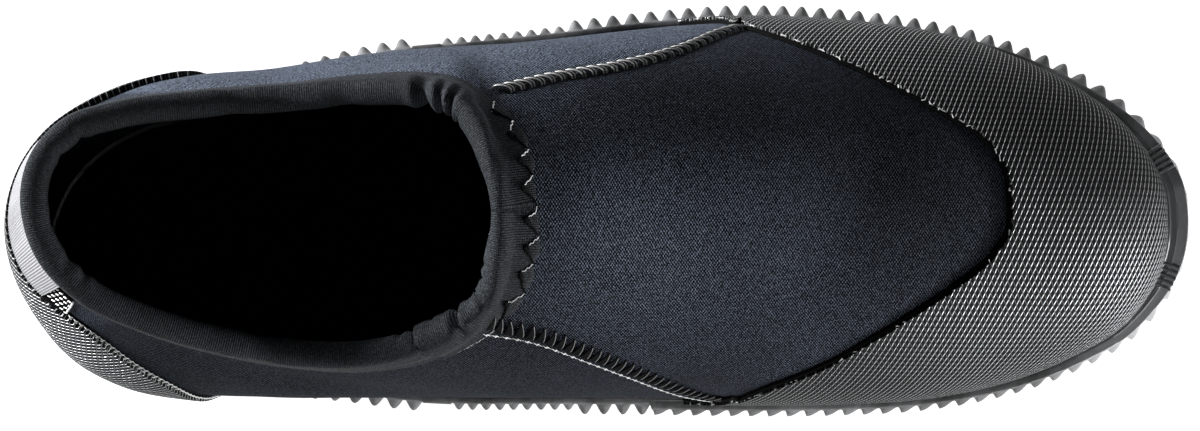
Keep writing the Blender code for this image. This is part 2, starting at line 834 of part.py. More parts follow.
def make_outsole():
    """The moulded sole: tread bars, toothed side, rim shelf and a plain top."""
    arcs, insets = toothed_side()
    teeth = EDGE.points(arcs, insets)
    plain = np.linspace(0, EDGE.length, RING_POINTS, endpoint=False)
    root = EDGE.points(plain, TOOTH_DEPTH + RIM_STEP)
    under = EDGE.points(plain, TOOTH_DEPTH + UNDERCUT)
    work = bmesh.new()
    layer = work.verts.layers.float.new("height")

    plate = floor_height(under[:, 0]) + TREAD_DEPTH
    _, low_edges = add_loop(work, under, plate)
    tooth_low, tooth_low_edges = add_loop(work, teeth, floor_height(teeth[:, 0]) + TREAD_DEPTH + TOOTH_FOOT)
    tooth_high, tooth_high_edges = add_loop(work, teeth, rim_height(teeth[:, 0]) - TOOTH_DROP)
    _, rim_edges = add_loop(work, root, rim_height(root[:, 0]))
    parts = ladder(lambda arc: feather_inset(arc) + SHELF_UNDERLAP)
    loop = ladder_loop(*parts)
    shelf, shelf_edges = add_loop(work, loop, rim_height(loop[:, 0]))

    hole_edges = []
    bars = []
    for lug in lug_outlines(under):
        base, edges = add_loop(work, lug, floor_height(lug[:, 0]) + TREAD_DEPTH)
        tip, _ = add_loop(work, lug, floor_height(lug[:, 0]))
        hole_edges += edges
        bars.append((base, tip))

    bmesh.ops.triangle_fill(work, use_beauty=True, edges=low_edges + hole_edges)
    bmesh.ops.triangle_fill(work, use_beauty=True, edges=low_edges + tooth_low_edges)
    bmesh.ops.triangle_fill(work, use_beauty=True, edges=tooth_high_edges + rim_edges)
    bmesh.ops.triangle_fill(work, use_beauty=True, edges=rim_edges + shelf_edges)
    for vert in work.verts:
        vert.co.z = vert[layer]
    join_loops(work, tooth_low, tooth_high)
    for face in ladder_faces(len(parts[1]), 0):
        work.faces.new([shelf[index] for index in face])
    for base, tip in bars:
        join_loops(work, base, tip)
        work.faces.new(tip)
    solid("outsole", work)


def centre_over_floor():
    """Bring the middle of the whole boot over the origin, its tread on the floor."""
    bpy.context.view_layer.update()
    depsgraph = bpy.context.evaluated_depsgraph_get()
    pieces = bpy.data.collections[BOOT].objects
    corners = []
    for piece in pieces:
        mesh = piece.evaluated_get(depsgraph).to_mesh()
        corners += [vertex.co.copy() for vertex in mesh.vertices]
    low = [min(corner[axis] for corner in corners) for axis in range(3)]
    high = [max(corner[axis] for corner in corners) for axis in range(3)]
    for piece in pieces:
        piece.location = (-(low[0] + high[0]) / 2, -(low[1] + high[1]) / 2, -low[2])


def main():
    for old in list(bpy.data.objects):
        bpy.data.objects.remove(old)
    bpy.context.scene.collection.children.link(bpy.data.collections.new(BOOT))
    make_outsole()
    make_insole()
    make_upper()
    make_toe_cap()
    make_heel_counter()
    make_heel_tape()
    make_collar_binding()
    for name in SEAMS:
        make_seam(name)
    centre_over_floor()


main()
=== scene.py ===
"""Looks of a low-cut neoprene diving boot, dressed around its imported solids.

Sizes below are in millimetres: x runs to the toe, y to the outer side of the
left foot and z up from the floor. Pieces are made in metres.
"""

import math

import bpy
import numpy as np
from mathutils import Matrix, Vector
from mathutils.bvhtree import BVHTree
from mathutils.kdtree import KDTree


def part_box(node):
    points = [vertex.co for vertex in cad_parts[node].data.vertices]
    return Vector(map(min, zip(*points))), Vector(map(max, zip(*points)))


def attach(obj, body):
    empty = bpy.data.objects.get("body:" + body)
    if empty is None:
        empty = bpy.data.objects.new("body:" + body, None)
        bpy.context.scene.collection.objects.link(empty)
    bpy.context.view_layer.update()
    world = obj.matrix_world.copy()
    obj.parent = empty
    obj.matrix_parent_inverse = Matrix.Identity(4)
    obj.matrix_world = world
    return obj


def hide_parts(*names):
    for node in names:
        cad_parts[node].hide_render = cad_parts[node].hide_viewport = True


bl_info = {
    "name": "Diving boot",
    "version": (1, 0, 0),
    "blender": (4, 5, 0),
    "location": "View3D > Sidebar > Boot",
    "description": "Dresses a neoprene diving boot with its fabrics, rubber and stitching",
    "category": "Add Mesh",
}

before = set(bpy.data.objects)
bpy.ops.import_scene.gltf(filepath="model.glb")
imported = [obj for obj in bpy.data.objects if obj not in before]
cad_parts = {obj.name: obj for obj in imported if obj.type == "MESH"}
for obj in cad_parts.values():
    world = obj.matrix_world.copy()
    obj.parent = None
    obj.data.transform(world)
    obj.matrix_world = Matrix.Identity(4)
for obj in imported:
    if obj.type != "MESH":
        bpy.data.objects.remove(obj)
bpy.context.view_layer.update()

MM = 0.001
BODY = "root"
# Name of the map of painted light and painted shade, and of the sole's gloss
LIGHT_AND_GLOSS_MAP = "nap"
CLOTH_MAP = "cloth"


def table(names, *rows):
    """A small table: one array for each named column, one entry for each row."""
    return dict(zip(names.split(), np.array(rows, dtype=float).T))


# Sole outline through the tips of the side teeth, heel to toe
HEEL_TIP = (-139.8, -5.0)
TOE_TIP = (142.0, -0.3)
SOLE_OUTLINE = table(
    "x lateral medial",
    (-135.5, 9.0, -22.0),
    (-127.0, 19.5, -33.6),
    (-115.0, 27.0, -40.2),
    (-100.0, 31.4, -43.0),
    (-80.0, 35.6, -44.0),
    (-62.0, 40.4, -45.6),
    (-48.0, 43.2, -47.4),
    (-35.0, 44.4, -48.2),
    (-12.0, 46.8, -48.3),
    (8.0, 49.3, -48.5),
    (32.0, 51.2, -48.9),
    (56.0, 50.5, -48.8),
    (80.0, 47.6, -47.4),
    (92.3, 44.8, -45.4),
    (104.5, 40.6, -42.2),
    (116.5, 34.8, -37.3),
    (128.5, 26.2, -30.2),
    (136.2, 17.0, -21.4),
    (140.6, 8.6, -11.8),
)

# Sole seen from the side: lowest face of the tread and top of the rim
SOLE_SIDE = table(
    "x floor rim",
    (-141.0, 3.0, 13.0),
    (-127.0, 0.0, 12.0),
    (-60.0, 0.0, 11.6),
    (-38.0, 2.2, 12.2),
    (-12.0, 3.4, 12.2),
    (20.0, 0.0, 10.2),
    (74.0, 0.0, 10.4),
    (100.0, 2.6, 12.8),
    (125.0, 7.6, 17.8),
    (144.0, 13.0, 23.4),
)
TREAD_DEPTH = 3.0
TOOTH_DEPTH = 2.6
SHELF_GAP = 0.3

# Shelf between the root of the teeth and the upper, from toe (0) to heel (1)
SHELF = table(
    "along width",
    (0.0, 5.2),
    (0.12, 3.6),
    (0.3, 2.3),
    (0.7, 2.2),
    (0.9, 1.6),
    (1.0, 1.4),
)

# Ridge of the vamp from the throat to the top of the toes
RIDGE = table(
    "x y z",
    (-22.5, 1.5, 92.2),
    (0.0, 1.5, 84.6),
    (20.0, 1.2, 77.0),
    (40.0, 0.8, 69.4),
    (60.0, 0.4, 62.2),
    (88.0, 0.0, 53.4),
)
RIDGE_CROWDING = 1.5
THROAT_ALONG = 0.565
SHOULDER_CROWDING = 0.25

# Shape of the front sections, from the throat (0) to the toe (1)
FRONT = table(
    "place rise reach bulge",
    (0.0, 0.40, 0.34, 2.6),
    (0.5, 0.37, 0.38, 2.2),
    (0.8, 0.36, 0.42, 2.2),
    (1.0, 0.36, 0.46, 2.6),
)

# Collar edge and the sections below it, from the throat to the heel
COLLAR = {
    "lateral": table(
        "along x y z dip rise reach bulge",
        (0.565, -22.5, 1.5, 92.2, 1.0, 0.400, 0.340, 2.6),
        (0.580, -24.4, 11.4, 90.3, 19.0, 0.378, 0.295, 2.3),
        (0.597, -26.8, 19.4, 87.3, 36.0, 0.362, 0.285, 2.0),
        (0.618, -31.6, 25.7, 83.8, 50.0, 0.352, 0.290, 2.0),
        (0.648, -40.0, 28.8, 79.8, 63.0, 0.362, 0.315, 2.6),
        (0.692, -53.0, 29.8, 75.0, 74.0, 0.390, 0.355, 5.0),
        (0.755, -72.0, 28.4, 71.0, 81.0, 0.420, 0.400, 8.8),
        (0.825, -92.0, 26.9, 73.0, 83.0, 0.420, 0.400, 12.2),
        (0.895, -111.0, 24.2, 77.2, 84.0, 0.420, 0.400, 11.6),
        (0.940, -121.0, 20.8, 79.8, 84.0, 0.420, 0.400, 10.6),
        (0.972, -127.8, 13.4, 81.4, 84.0, 0.420, 0.400, 10.0),
        (1.000, -130.0, 4.0, 82.0, 84.0, 0.420, 0.400, 9.8),
    ),
    "medial": table(
        "along x y z dip rise reach bulge",
        (0.565, -22.5, 1.5, 92.2, 1.0, 0.400, 0.340, 2.6),
        (0.580, -22.9, -9.0, 90.5, 19.0, 0.378, 0.295, 2.3),
        (0.597, -24.6, -18.2, 87.0, 36.0, 0.362, 0.285, 2.0),
        (0.618, -31.2, -24.6, 83.2, 50.0, 0.352, 0.290, 2.0),
        (0.648, -40.6, -29.8, 78.8, 63.0, 0.362, 0.315, 2.8),
        (0.692, -53.4, -33.0, 74.2, 74.0, 0.390, 0.355, 6.6),
        (0.755, -70.0, -33.0, 70.8, 81.0, 0.420, 0.400, 10.6),
        (0.825, -88.0, -29.8, 72.2, 83.0, 0.420, 0.400, 11.4),
        (0.895, -105.0, -24.6, 76.0, 84.0, 0.420, 0.400, 10.6),
        (0.940, -117.6, -18.4, 79.2, 84.0, 0.420, 0.400, 9.8),
        (0.972, -126.8, -8.6, 81.2, 84.0, 0.420, 0.400, 9.8),
        (1.000, -130.0, 4.0, 82.0, 84.0, 0.420, 0.400, 9.8),
    ),
}

# Rear edge of the toe cap seen from above, and its least height on the wings
CAP_EDGE = table(
    "y x",
    (-44.4, 31.9),
    (-42.6, 35.0),
    (-35.1, 52.2),
    (-24.5, 70.6),
    (-16.4, 83.4),
    (-9.4, 92.0),
    (-1.0, 96.2),
    (7.0, 95.8),
    (15.9, 91.9),
    (25.4, 77.9),
    (35.3, 58.1),
    (41.9, 42.1),
    (44.8, 33.7),
)
CAP_WING_END = 18.7
CAP_HEIGHT = table(
    "x height",
    (18.0, 1.6),
    (24.0, 5.0),
    (30.0, 12.0),
    (34.0, 26.0),
    (38.0, 60.0),
)

# Top edge of the heel counter above the rim, by place on the sole edge
COUNTER_END = -88.0
COUNTER_HEIGHT = table(
    "x height",
    (-136.0, 34.0),
    (-129.5, 40.0),
    (-118.0, 34.0),
    (-108.0, 28.0),
    (-98.0, 18.0),
    (-92.0, 8.0),
    (-88.0, 1.6),
)
TAPE_END = -132.0
TAPE_MARGIN = 0.8
FOOT_MARGIN = 0.9

# Lines of the two cover seams, seen from above
SEAMS = {
    "lateral": table(
        "x y",
        (-23.0, 28.6),
        (-10.0, 31.8),
        (2.9, 34.2),
        (13.1, 36.8),
        (21.0, 39.6),
        (28.6, 43.0),
        (33.2, 44.5),
    ),
    "medial": table(
        "x y",
        (-27.1, -25.1),
        (-14.8, -27.6),
        (-1.6, -32.7),
        (8.6, -37.0),
        (20.6, -42.0),
        (31.0, -44.6),
    ),
}


def hermite(start, end, start_slope, end_slope, t):
    """Cubic from start to end with the given slopes, t from 0 to 1."""
    return (
        start * (1 + 2 * t) * (1 - t) ** 2
        + start_slope * t * (1 - t) ** 2
        + end * t * t * (3 - 2 * t)
        - end_slope * t * t * (1 - t)
    )


def ease(keys, values, at):
    """Smooth curve through the rows of a table that never overshoots them."""
    step = np.diff(keys)
    slope = np.diff(values) / step
    product = slope[:-1] * slope[1:]
    total = np.where(product > 0, slope[:-1] + slope[1:], 1.0)
    inner = np.where(product > 0, 2 * product / total, 0.0)
    tangent = np.concatenate((slope[:1], inner, slope[-1:]))
    at = np.clip(at, keys[0], keys[-1])
    row = np.clip(np.searchsorted(keys, at) - 1, 0, len(step) - 1)
    t = (at - keys[row]) / step[row]
    return hermite(values[row], values[row + 1], tangent[row] * step[row], tangent[row + 1] * step[row], t)


def flow(keys, values, at, level_end=False):
    """Smooth curve through the rows of a table with rounded turns; it may run out level."""
    tangent = np.gradient(values, keys)
    if level_end:
        tangent[-1] = 0.0
    at = np.clip(at, keys[0], keys[-1])
    row = np.clip(np.searchsorted(keys, at) - 1, 0, len(keys) - 2)
    step = np.diff(keys)[row]
    t = (at - keys[row]) / step
    return hermite(values[row], values[row + 1], tangent[row] * step, tangent[row + 1] * step, t)


def flow_line(keys, points, at):
    """Smooth line through points with rounded turns."""
    return np.column_stack([flow(keys, points[:, axis], at) for axis in range(points.shape[1])])


def unit(vectors):
    """Vectors of length one."""
    return vectors / np.linalg.norm(vectors, axis=-1, keepdims=True)


def smooth(low, high, at):
    """Soft step from 0 at low to 1 at high."""
    t = np.clip((at - low) / (high - low), 0.0, 1.0)
    return t * t * (3 - 2 * t)


def lengths(points):
    """Length along a line of points, from 0 at its start."""
    return np.concatenate(([0.0], np.cumsum(np.linalg.norm(np.diff(points, axis=0), axis=1))))


def resample(points, along, at):
    """Points of a line at the given lengths along it."""
    return np.column_stack([np.interp(at, along, points[:, axis]) for axis in range(points.shape[1])])


def beside(place, axes, *amounts):
    """Points set off from a place by an amount along each of its axes."""
    for axis, amount in zip(axes, amounts):
        place = place + np.outer(amount, axis)
    return place


def uneven(draw, count, reach):
    """Random amounts from 0 to 1, evened out over neighbours."""
    return np.convolve(draw.uniform(0.0, 1.0, count + reach - 1), np.ones(reach) / reach, mode="valid")


class SoleEdge:
    """The closed outline of the sole, walked from the toe along the outer side."""

    SAMPLES = 2400
    SIDE_ENDS = (0.02, 0.98)

    def __init__(self):
        lateral = np.column_stack((SOLE_OUTLINE["x"], SOLE_OUTLINE["lateral"]))[::-1]
        medial = np.column_stack((SOLE_OUTLINE["x"], SOLE_OUTLINE["medial"]))
        points = np.vstack((TOE_TIP, lateral, HEEL_TIP, medial, TOE_TIP))
        lead = np.vstack((points[-3:-1], points, points[1:3]))
        keys = lengths(lead)
        at = np.linspace(keys[2], keys[-3], self.SAMPLES + 1)
        self.curve = flow_line(keys, lead, at)
        self.arc = lengths(self.curve)
        self.length = self.arc[-1]
        open_curve = self.curve[:-1]
        tangent = unit(np.roll(open_curve, -1, axis=0) - np.roll(open_curve, 1, axis=0))
        outward = np.column_stack((tangent[:, 1], -tangent[:, 0]))
        self.outward = np.vstack((outward, outward[:1]))
        self.heel_arc = self.arc[np.argmin(self.curve[:, 0])]

    def pick(self, values, arc):
        """Values along the outline at the given arc lengths."""
        return resample(values, self.arc, np.mod(arc, self.length))

    def points(self, arc, inset):
        """Places set in from the outline by the given amount."""
        return self.pick(self.curve, arc) - unit(self.pick(self.outward, arc)) * np.reshape(inset, (-1, 1))

    def normals(self, arc):
        """Level outward directions."""
        return unit(self.pick(self.outward, arc))

    def side_arc(self, side, along):
        """Arc length at a share of one side, toe 0 to heel 1."""
        if side == "lateral":
            return np.asarray(along) * self.heel_arc
        return self.length - np.asarray(along) * (self.length - self.heel_arc)

    def arc_at(self, side, x):
        """Arc length where one side of the outline passes x."""
        along = np.linspace(*self.SIDE_ENDS, self.SAMPLES)
        reach = self.pick(self.curve, self.side_arc(side, along))[:, 0]
        return float(self.side_arc(side, np.interp(-x, -reach, along)))

    def along(self, arc):
        """Share of the way from toe to heel on either side."""
        arc = np.mod(arc, self.length)
        back = (self.length - arc) / (self.length - self.heel_arc)
        return np.where(arc <= self.heel_arc, arc / self.heel_arc, back)


EDGE = SoleEdge()


def floor_height(x):
    """Lowest face of the tread."""
    return ease(SOLE_SIDE["x"], SOLE_SIDE["floor"], x)


def rim_height(x):
    """Top of the sole's rim."""
    return ease(SOLE_SIDE["x"], SOLE_SIDE["rim"], x)


def shelf_width(arc):
    """Width of the flat shelf round the upper."""
    return ease(SHELF["along"], SHELF["width"], EDGE.along(arc))


def ridge_slope(x):
    """Fall of the ridge towards the toe."""
    return float(np.interp(x, RIDGE["x"], np.gradient(RIDGE["z"], RIDGE["x"])))


class Section:
    """One curve of the wall, from its foot on the sole to its top, with its place on the flat cloth."""

    SAMPLES = 201

    def __init__(self, side, along, top, dip, rise, reach, bulge, to_ridge, crowding, cloth_top):
        self.crowding = crowding
        self.arc = float(EDGE.side_arc(side, along))
        level = EDGE.points(self.arc, TOOTH_DEPTH + shelf_width(self.arc))[0]
        outward = np.append(EDGE.normals(self.arc)[0], 0.0)
        self.foot = np.append(level, rim_height(level[0]) + SHELF_GAP)
        self.top = np.array(top)
        span = np.linalg.norm(self.top - self.foot)
        slope = 0.0
        spread = outward
        if to_ridge:
            spread = unit((self.foot - self.top) * (1, 1, 0))
            slope = ridge_slope(self.top[0])
        lean = math.radians(dip)
        fall = (0, 0, slope * spread[0] * math.cos(lean) - math.sin(lean))
        lower = self.foot + outward * bulge + np.array((0, 0, rise * span))
        upper = self.top + reach * span * (spread * math.cos(lean) + fall)
        self.controls = np.array((self.foot, lower, upper, self.top))
        self.cloth_top = np.array(cloth_top)
        self.cloth_way = spread[:2]
        self.shares = np.linspace(0, 1, self.SAMPLES)
        self.curve = self.at(self.shares)
        self.lengths = lengths(self.curve)

    def at(self, share):
        """Points at shares of the curve, foot 0 to top 1, closer together at its shoulder."""
        share = np.reshape(share, (-1, 1))
        t = share + self.crowding * np.sin(2 * math.pi * share) / (2 * math.pi)
        weights = np.hstack(((1 - t) ** 3, 3 * t * (1 - t) ** 2, 3 * t * t * (1 - t), t ** 3))
        return weights @ self.controls

    def cloth(self, share):
        """Places on the flat cloth, in millimetres: columns of stitches cross the foot."""
        down = self.lengths[-1] - np.interp(share, self.shares, self.lengths)
        ahead = np.interp(share, self.shares, self.curve[:, 0]) - self.top[0]
        fan = smooth(0.35, 0.9, abs(self.cloth_way[0]))
        along = ahead + (down * self.cloth_way[0] - ahead) * fan
        return self.cloth_top + np.column_stack((along, down * self.cloth_way[1]))

    def wrap(self, share):
        """Places on a strip wound round the foot: along the sole edge and up the wall."""
        up = np.interp(share, self.shares, self.lengths)
        return np.column_stack((np.full(len(up), self.arc), up))

    def share_at_height(self, height):
        """Share of the curve where it is this far above its foot."""
        return float(np.interp(height, self.curve[:, 2] - self.foot[2], self.shares))

    def share_below_top(self, depth):
        """Share of the curve this far down from its top, measured along it."""
        return float(np.interp(self.lengths[-1] - depth, self.lengths, self.shares))


def front_section(side, place):
    """Section of the vamp, from the throat 0 to the toe 1."""
    run = RIDGE["x"][-1] - RIDGE["x"][0]
    x = RIDGE["x"][0] + run * (1 - (1 - place) ** RIDGE_CROWDING)
    top = (x, ease(RIDGE["x"], RIDGE["y"], x), ease(RIDGE["x"], RIDGE["z"], x))
    ridge_line = np.column_stack((RIDGE["x"], RIDGE["z"]))
    cloth_top = (RIDGE["x"][0] + np.interp(x, RIDGE["x"], lengths(ridge_line)), 0.0)
    shape = [float(ease(FRONT["place"], FRONT[name], place)) for name in ("rise", "reach", "bulge")]
    crowding = SHOULDER_CROWDING * (1 - place)
    return Section(side, THROAT_ALONG * (1 - place), top, 0.0, *shape, True, crowding, cloth_top)


def rear_section(side, place):
    """Section below the collar, from the throat 0 to the heel 1."""
    rows = COLLAR[side]
    chords = np.linalg.norm(np.diff([rows["x"], rows["y"], rows["along"] * 100], axis=1), axis=0)
    keys = np.concatenate(([0.0], np.cumsum(chords)))
    at = place * keys[-1]
    top = [float(flow(keys, rows[name], at, name in "xz")) for name in "xyz"]
    across = lengths(np.column_stack((rows["y"], rows["z"])))
    turn = 1 if side == "lateral" else -1
    cloth_top = (top[0], turn * float(ease(keys, across, at)))
    shape = [float(ease(keys, rows[name], at)) for name in ("dip", "rise", "reach", "bulge")]
    along = float(ease(keys, rows["along"], at))
    return Section(side, along, top, *shape, False, SHOULDER_CROWDING, cloth_top)


def grid_normals(points):
    """Outward directions of a grid of points on the wall."""
    return unit(np.cross(np.gradient(points, axis=0), np.gradient(points, axis=1)))


class Wall:
    """The upper's outer face: sections round the foot and a search tree over its facets."""

    FRONT_COUNT = 110
    REAR_COUNT = 100
    ROWS = 84
    FAIRING_PASSES = 40
    FAIRING_REACH = 12
    FAIRING_PULL = 0.8
    FAIRING_END = (0.55, 0.92)
    RAY_START = 200.0

    def __init__(self):
        front = np.linspace(0, 1, self.FRONT_COUNT + 1)
        rear = np.linspace(0, 1, self.REAR_COUNT + 1)
        outer = [front_section("lateral", place) for place in front[::-1]]
        outer += [rear_section("lateral", place) for place in rear[1:]]
        inner = [rear_section("medial", place) for place in rear[-2:0:-1]]
        inner += [front_section("medial", place) for place in front[:-1]]
        self.sections = outer + inner
        self.collar = slice(self.FRONT_COUNT, self.FRONT_COUNT + 2 * self.REAR_COUNT)
        self.shares = np.linspace(0, 1, self.ROWS + 1)
        self.points = self.fair(np.array([section.at(self.shares) for section in self.sections]))
        self.cloth = self.fair(np.array([section.cloth(self.shares) for section in self.sections]))
        self.tree = self.search_tree(self.points)

    def fair(self, points):
        """Take the crease out of the wall where the vamp's sections meet the collar's."""
        number = np.arange(len(points))
        seams = (self.FRONT_COUNT, len(points) - self.FRONT_COUNT)
        near = np.max([np.exp(-((number - seam) / self.FAIRING_REACH) ** 2) for seam in seams], axis=0)
        fade = 1 - smooth(*self.FAIRING_END, self.shares)
        pull = self.FAIRING_PULL * near[:, None, None] * fade[None, :, None]
        for _ in range(self.FAIRING_PASSES):
            middle = (np.roll(points, 1, axis=0) + np.roll(points, -1, axis=0)) / 2
            points = points + (middle - points) * pull
        return points

    def search_tree(self, points):
        """Search tree over the facets of a closed grid."""
        count, rows = points.shape[:2]
        faces = []
        for i in range(count):
            after = (i + 1) % count
            faces += [
                (i * rows + j, after * rows + j, after * rows + j + 1, i * rows + j + 1)
                for j in range(rows - 1)
            ]
        return BVHTree.FromPolygons([Vector(point) for point in points.reshape(-1, 3)], faces)

    def seat(self, point, reach=3.5):
        """Nearest place on the wall, with a smoothed outward direction."""
        place = self.tree.find_nearest(Vector(point))[0]
        blend = Vector((0, 0, 0))
        for _, normal, _, distance in self.tree.find_nearest_range(place, reach):
            blend += normal * (reach - distance)
        return np.array(place), np.array(blend.normalized())

    def drop(self, x, y):
        """Place on the wall straight below a point, as seen from above."""
        place = self.tree.ray_cast(Vector((x, y, self.RAY_START)), Vector((0, 0, -1)))[0]
        return np.array(place) if place else self.seat((x, y, 0.0))[0]

    def lifted(self, points, lift):
        """Points moved onto the wall and a little off it."""
        return np.array([place + normal * lift for place, normal in map(self.seat, points)])

    def heel_sections(self, limit):
        """Sections of the collar whose foot lies behind the limit."""
        return [section for section in self.sections[self.collar] if section.foot[0] < limit]

    def toe_sections(self, limit):
        """Sections from the inner to the outer side whose foot lies in front of the limit."""
        order = self.sections[-self.FRONT_COUNT:] + self.sections[:self.FRONT_COUNT]
        return [section for section in order if section.foot[0] > limit]


WALL = Wall()

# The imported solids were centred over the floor: this takes the form above onto them
BOX_LOW = np.array(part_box("upper")[0]) / MM
CENTRING = np.append((BOX_LOW - WALL.points.reshape(-1, 3).min(axis=0))[:2], 0.0)


def to_metres(points):
    """Points of the form, in millimetres, as places in the frame."""
    return (np.asarray(points) + CENTRING) * MM


# Values that a user would change

def size(name, millimetres, description):
    """A length that is set in millimetres."""
    return bpy.props.FloatProperty(
        name=name, description=description, default=millimetres * MM,
        unit="LENGTH", subtype="DISTANCE", precision=5, min=0.0,
    )


def colour(name, red, green, blue, description):
    """A linear colour."""
    return bpy.props.FloatVectorProperty(
        name=name, description=description, default=(red, green, blue),
        subtype="COLOR", size=3, min=0.0, max=1.0,
    )


class BootSizes(bpy.types.PropertyGroup):
    """Sizes of the boot's skins and of the patterns in its surfaces."""

    neoprene: size("Neoprene", 3.0, "Thickness of the upper's wall")
    overlay: size("Overlay", 1.7, "How far the cap and counter stand off the wall")
    tape: size("Tape", 1.3, "How far the heel tape stands off the wall")
    binding_depth: size("Binding depth", 10.0, "How far the binding reaches down from the collar edge")
    wale: size("Knit wale", 0.72, "Width of one column of knit stitches")
    course: size("Knit course", 1.10, "Height of one row of knit stitches")
    grain_width: size("Grain width", 1.38, "Width of one diamond of the rubber grain")
    grain_length: size("Grain length", 3.1, "Length of one diamond of the rubber grain")
    tape_rib: size("Tape rib", 0.65, "Pitch of the heel tape's ribs")
    rope_pitch: size("Rope pitch", 2.7, "Pitch of the strands in the outer cover seam")
    spike_pitch: size("Spike pitch", 2.8, "Pitch of the loops in the inner cover seam")
    zigzag_pitch: size("Zigzag pitch", 6.3, "Pitch of the zigzag stitch at the throat")


class BootColours(bpy.types.PropertyGroup):
    """Colours of the boot's materials."""

    neoprene: colour("Neoprene", 0.019, 0.0225, 0.0300, "Knit face of the upper")
    lining: colour("Lining", 0.0016, 0.0016, 0.0018, "Inside of the upper")
    # Near white: the raised ribs of the black rubber are painted pale and metal-like as painted glints
    grain: colour("Grained rubber", 0.930, 0.950, 0.980, "Toe cap and heel counter")
    sole: colour("Sole rubber", 0.060, 0.061, 0.063, "Moulded sole")
    binding: colour("Binding", 0.0135, 0.0160, 0.0192, "Stretch tape round the collar")
    tape: colour("Heel tape", 0.17, 0.17, 0.181, "Ribbed tape over the heel")
    black_thread: colour("Black thread", 0.006, 0.006, 0.0065, "Cover seams")
    # Also the painted glints on the zigzag and, dimmed, on the rope and the loops' rims
    pale_thread: colour("Pale thread", 0.60, 0.60, 0.60, "Stitches that catch the light")
    floor: colour("Floor", 0.85, 0.85, 0.85, "Plain studio floor")


class BootStage(bpy.types.PropertyGroup):
    """Where the camera stands and how wide it sees."""

    camera_height: size("Camera height", 1100.0, "Height of the camera above the floor")
    view_width: size("View width", 291.6, "Width of the picture at the height of the sole's rim")
    rim_level: size("Rim level", 10.0, "Height at which the view width is measured")


def sizes():
    """Sizes in millimetres, by name."""
    group = bpy.context.scene.boot_sizes
    return {name: getattr(group, name) / MM for name in BootSizes.__annotations__}


def colours():
    """Colours with full alpha, by name."""
    group = bpy.context.scene.boot_colours
    return {name: (*getattr(group, name), 1.0) for name in BootColours.__annotations__}


# Materials

class Signal:
    """A number that varies over a surface; sums on it add Math nodes."""

    def __init__(self, finish, socket):
        self.finish = finish
        self.socket = socket

    def math(self, operation, other=0.0):
        """One sum on this number."""
        return self.finish.add("ShaderNodeMath", {"operation": operation}, {0: self, 1: other})

    def __add__(self, other):
        return self.math("ADD", other)

    def __sub__(self, other):
        return self.math("SUBTRACT", other)

    def __rsub__(self, other):
        return self * -1.0 + other

    def __mul__(self, other):
        return self.math("MULTIPLY", other)

    __radd__ = __add__
    __rmul__ = __mul__

    def wave(self):
        """Triangle wave of period 1: 0 at whole numbers and 1 half way."""
        return self.math("PINGPONG", 0.5) * 2.0

    def least(self, other):
        """The smaller of two numbers."""
        return self.math("MINIMUM", other)

    def power(self, exponent):
        """This number raised to a power."""
        return self.math("POWER", exponent)

    def between(self, low, high):
        """0 below low, 1 above high and a soft step between them."""
        settings = {"interpolation_type": "SMOOTHSTEP"}
        return self.finish.add("ShaderNodeMapRange", settings, {0: self, 1: low, 2: high})


class Finish:
    """A material under construction: its shader and the nodes that feed it."""

    def __init__(self, name, **constants):
        self.material = bpy.data.materials.new(name)
        self.material.use_nodes = True
        self.tree = self.material.node_tree
        self.shader = self.tree.nodes["Principled BSDF"]
        for socket, value in constants.items():
            self.shader.inputs[socket.replace("_", " ")].default_value = value

    def add(self, kind, settings, inputs, output=0):
        """Add a node, set it up, feed its sockets and return one of its outputs."""
        node = self.tree.nodes.new(kind)
        for name, value in settings.items():
            setattr(node, name, value)
        for socket, value in inputs.items():
            self.feed(node.inputs[socket], value)
        return Signal(self, node.outputs[output])

    def feed(self, socket, value):
        """Link or set one socket."""
        if isinstance(value, Signal):
            self.tree.links.new(value.socket, socket)
        else:
            socket.default_value = value

    def set(self, **sockets):
        """Feed sockets of the shader that change over the surface."""
        for name, value in sockets.items():
            self.feed(self.shader.inputs[name.replace("_", " ")], value)
        return self

    def cloth(self):
        """Place on the flat cloth, in millimetres: along the foot and across it."""
        place = self.add("ShaderNodeUVMap", {"uv_map": CLOTH_MAP}, {})
        return [self.add("ShaderNodeSeparateXYZ", {}, {0: place}, axis) for axis in (0, 1)]

    def place(self):
        """Place on the object."""
        return self.add("ShaderNodeTexCoord", {}, {}, "Object")

    def nap(self):
        """The piece's own map of painted light and painted shade, and of gloss on the sole."""
        return self.add("ShaderNodeAttribute", {"attribute_name": LIGHT_AND_GLOSS_MAP}, {}, "Fac")

    def noise(self, scale, detail=2.0, roughness=0.5):
        """Even noise over the object, scale in cells per metre."""
        inputs = {"Vector": self.place(), "Scale": scale, "Detail": detail, "Roughness": roughness}
        return self.add("ShaderNodeTexNoise", {}, inputs)

    def mix(self, factor, low, high):
        """Blend two colours."""
        return self.add("ShaderNodeMix", {"data_type": "RGBA"}, {0: factor, 6: low, 7: high}, 2)

    def shade(self, factor, base, dark, pale):
        """Vary the colour between a darker and a paler tint of it."""
        return self.set(Base_Color=self.mix(factor, tint(base, dark), tint(base, pale)))

    def bump(self, height, depth):
        """Shape the surface by a height from 0 to 1, depth in millimetres."""
        inputs = {"Height": height, "Distance": depth * MM, "Strength": 1.0}
        return self.set(Normal=self.add("ShaderNodeBump", {}, inputs))


def tint(rgba, factor):
    """A colour made lighter or darker."""
    return (*[min(1.0, channel * factor) for channel in rgba[:3]], 1.0)


def knit_height(finish, wale, course):
    """Height of fine knitting: staggered loops whose rows run at a slant."""
    along, across = finish.cloth()
    wander = finish.noise(300.0, 1.0) * 0.8
    one_way = (along * (1 / wale) + across * (1 / course) + wander).wave()
    other_way = (along * (1 / wale) - across * (1 / course) + wander).wave()
    return one_way * 0.62 + other_way * 0.38


